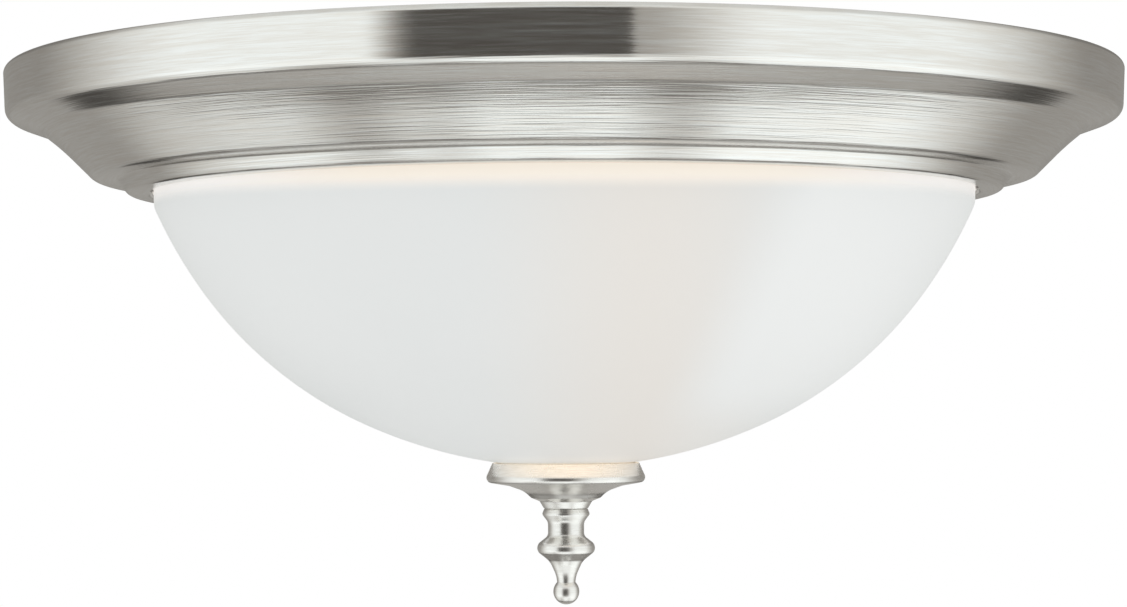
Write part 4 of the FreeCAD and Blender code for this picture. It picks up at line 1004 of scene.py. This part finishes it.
# %% Values of the fine finishes
LEAD = dict(gloss=0.35, grain=0.0004, relief=6e-6)
FINE_VALUES = {
    "white_enamel": dict(deep=(0.80, 0.80, 0.78), pale=(0.87, 0.87, 0.85), gloss=0.30, grain=0.0014,
                         relief=1.2e-5, coat=0.2, dust=0.05),
    "zinc_steel": dict(deep=(0.52, 0.54, 0.56), pale=(0.74, 0.74, 0.70), gloss=0.30, grain=0.0005,
                       relief=6e-6, metallic=1.0, crystals=0.0022),
    "rod_steel": dict(deep=(0.50, 0.49, 0.46), pale=(0.68, 0.67, 0.64), gloss=0.34, grain=0.0004,
                      relief=6e-6, metallic=1.0),
    "green_steel": dict(deep=(0.05, 0.28, 0.12), pale=(0.12, 0.44, 0.20), gloss=0.28, grain=0.0005,
                        relief=5e-6, metallic=1.0),
    "porcelain": dict(deep=(0.80, 0.78, 0.73), pale=(0.89, 0.88, 0.84), gloss=0.34, grain=0.0008,
                      relief=1.6e-5, coat=0.15, dust=0.30),
    "brass": dict(deep=(0.62, 0.42, 0.16), pale=(0.86, 0.66, 0.32), gloss=0.26, grain=0.0005,
                  relief=5e-6, metallic=1.0),
    "lamp_metal": dict(deep=(0.64, 0.63, 0.60), pale=(0.84, 0.83, 0.80), gloss=0.24, grain=0.0004,
                       relief=5e-6, metallic=1.0),
    "solder": dict(deep=(0.48, 0.48, 0.49), pale=(0.70, 0.70, 0.70), gloss=0.40, grain=0.0011,
                   relief=6e-5, metallic=1.0),
    "dark_glass": dict(deep=(0.012, 0.012, 0.018), pale=(0.03, 0.03, 0.045), gloss=0.08, grain=0.0009,
                       relief=1e-5, dust=0.05),
    "soft_rubber": dict(deep=(0.70, 0.70, 0.67), pale=(0.82, 0.82, 0.80), gloss=0.55, grain=0.0003,
                        relief=1.5e-5),
    "nylon": dict(deep=(0.80, 0.79, 0.73), pale=(0.88, 0.87, 0.83), gloss=0.40, grain=0.0003, relief=8e-6),
    "connector_plastic": dict(deep=(0.72, 0.24, 0.03), pale=(0.84, 0.33, 0.06), gloss=0.42, grain=0.0003,
                              relief=1.5e-5, dust=0.10),
    "lead_white": dict(LEAD, deep=(0.80, 0.80, 0.78), pale=(0.88, 0.88, 0.86)),
    "lead_black": dict(LEAD, deep=(0.018, 0.018, 0.018), pale=(0.04, 0.04, 0.04), dust=0.08),
    "lead_green": dict(LEAD, deep=(0.03, 0.24, 0.07), pale=(0.06, 0.34, 0.11)),
}

# %% Hand out the finishes
FINISHES = {make.__name__: make()
            for make in (satin_nickel, polished_nickel, opal_glass, frosted_glass, glass_wool)}
FINISHES.update({slot: fine_finish(slot, **values) for slot, values in FINE_VALUES.items()})
slot_of = {part["node"]: part["material_slot"] for part in frame["record"]["subparts"]}
for node, thing in frame["nodes"].items():
    if slot_of[node] in FINISHES:
        thing.material_slots[0].material = FINISHES[slot_of[node]]
for piece in PIECES:
    piece.data.materials.append(FINISHES[piece["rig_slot"]])
print(len(FINISHES), "finishes")

# %% [markdown]
# ## The floor
# The light hangs over a pale floor. It catches a soft shadow, and it melts into the white background towards
# its edge. Reflections look through it, because the studio already has a floor of its own in them, and so
# does a view from below, because that is where a ceiling light is mostly looked at from.

# %% Floor
FLOOR_DROP = -0.45
FLOOR_RADIUS = 2.0
FLOOR_FADE = (0.60, 1.30)
FLOOR_SIDES = 96
FLOOR_GREY = (0.86, 0.86, 0.86, 1.0)


def either(tree, factor, first, second):
    """A shader node between two others: the first where the factor is 0, the second where it is 1."""
    node = add_node(tree, "ShaderNodeMixShader", Fac=factor)
    for socket, shader in zip(list(node.inputs)[1:], (first, second)):
        feed(tree, socket, shader.outputs[0])
    return node


rings = np.array([0.0, FLOOR_RADIUS])[:, None]
floor_points = carried_round(rings / MM, round_angles(FLOOR_SIDES), FLOOR_DROP / MM)
floor = grid_piece("floor", floor_points, closed_down=False, smooth=False)
if floor.data.polygons[0].normal.z < 0:
    floor.data.flip_normals()

paint = bpy.data.materials.new("floor_paint")
paint.use_nodes = True
tree = paint.node_tree
tree.nodes.clear()
place = tree.nodes.new("ShaderNodeTexCoord").outputs["Object"]
rays = tree.nodes.new("ShaderNodeLightPath").outputs
spread = add_node(tree, "ShaderNodeVectorMath", {"operation": "LENGTH"}, Vector=place).outputs["Value"]
matt = add_node(tree, "ShaderNodeBsdfDiffuse", Color=FLOOR_GREY)
white = add_node(tree, "ShaderNodeEmission", Color=(*WHITE, 1.0), Strength=1.0)
top = either(tree, ramp(tree, spread, *FLOOR_FADE), matt, white)
clear = add_node(tree, "ShaderNodeBsdfTransparent")
underside = tree.nodes.new("ShaderNodeNewGeometry").outputs["Backfacing"]
through = maths(tree, "MAXIMUM", underside, rays["Is Glossy Ray"])
shown = either(tree, through, top, clear)
add_node(tree, "ShaderNodeOutputMaterial", Surface=shown.outputs[0])
floor.data.materials.append(paint)
print("floor at", FLOOR_DROP, "m")
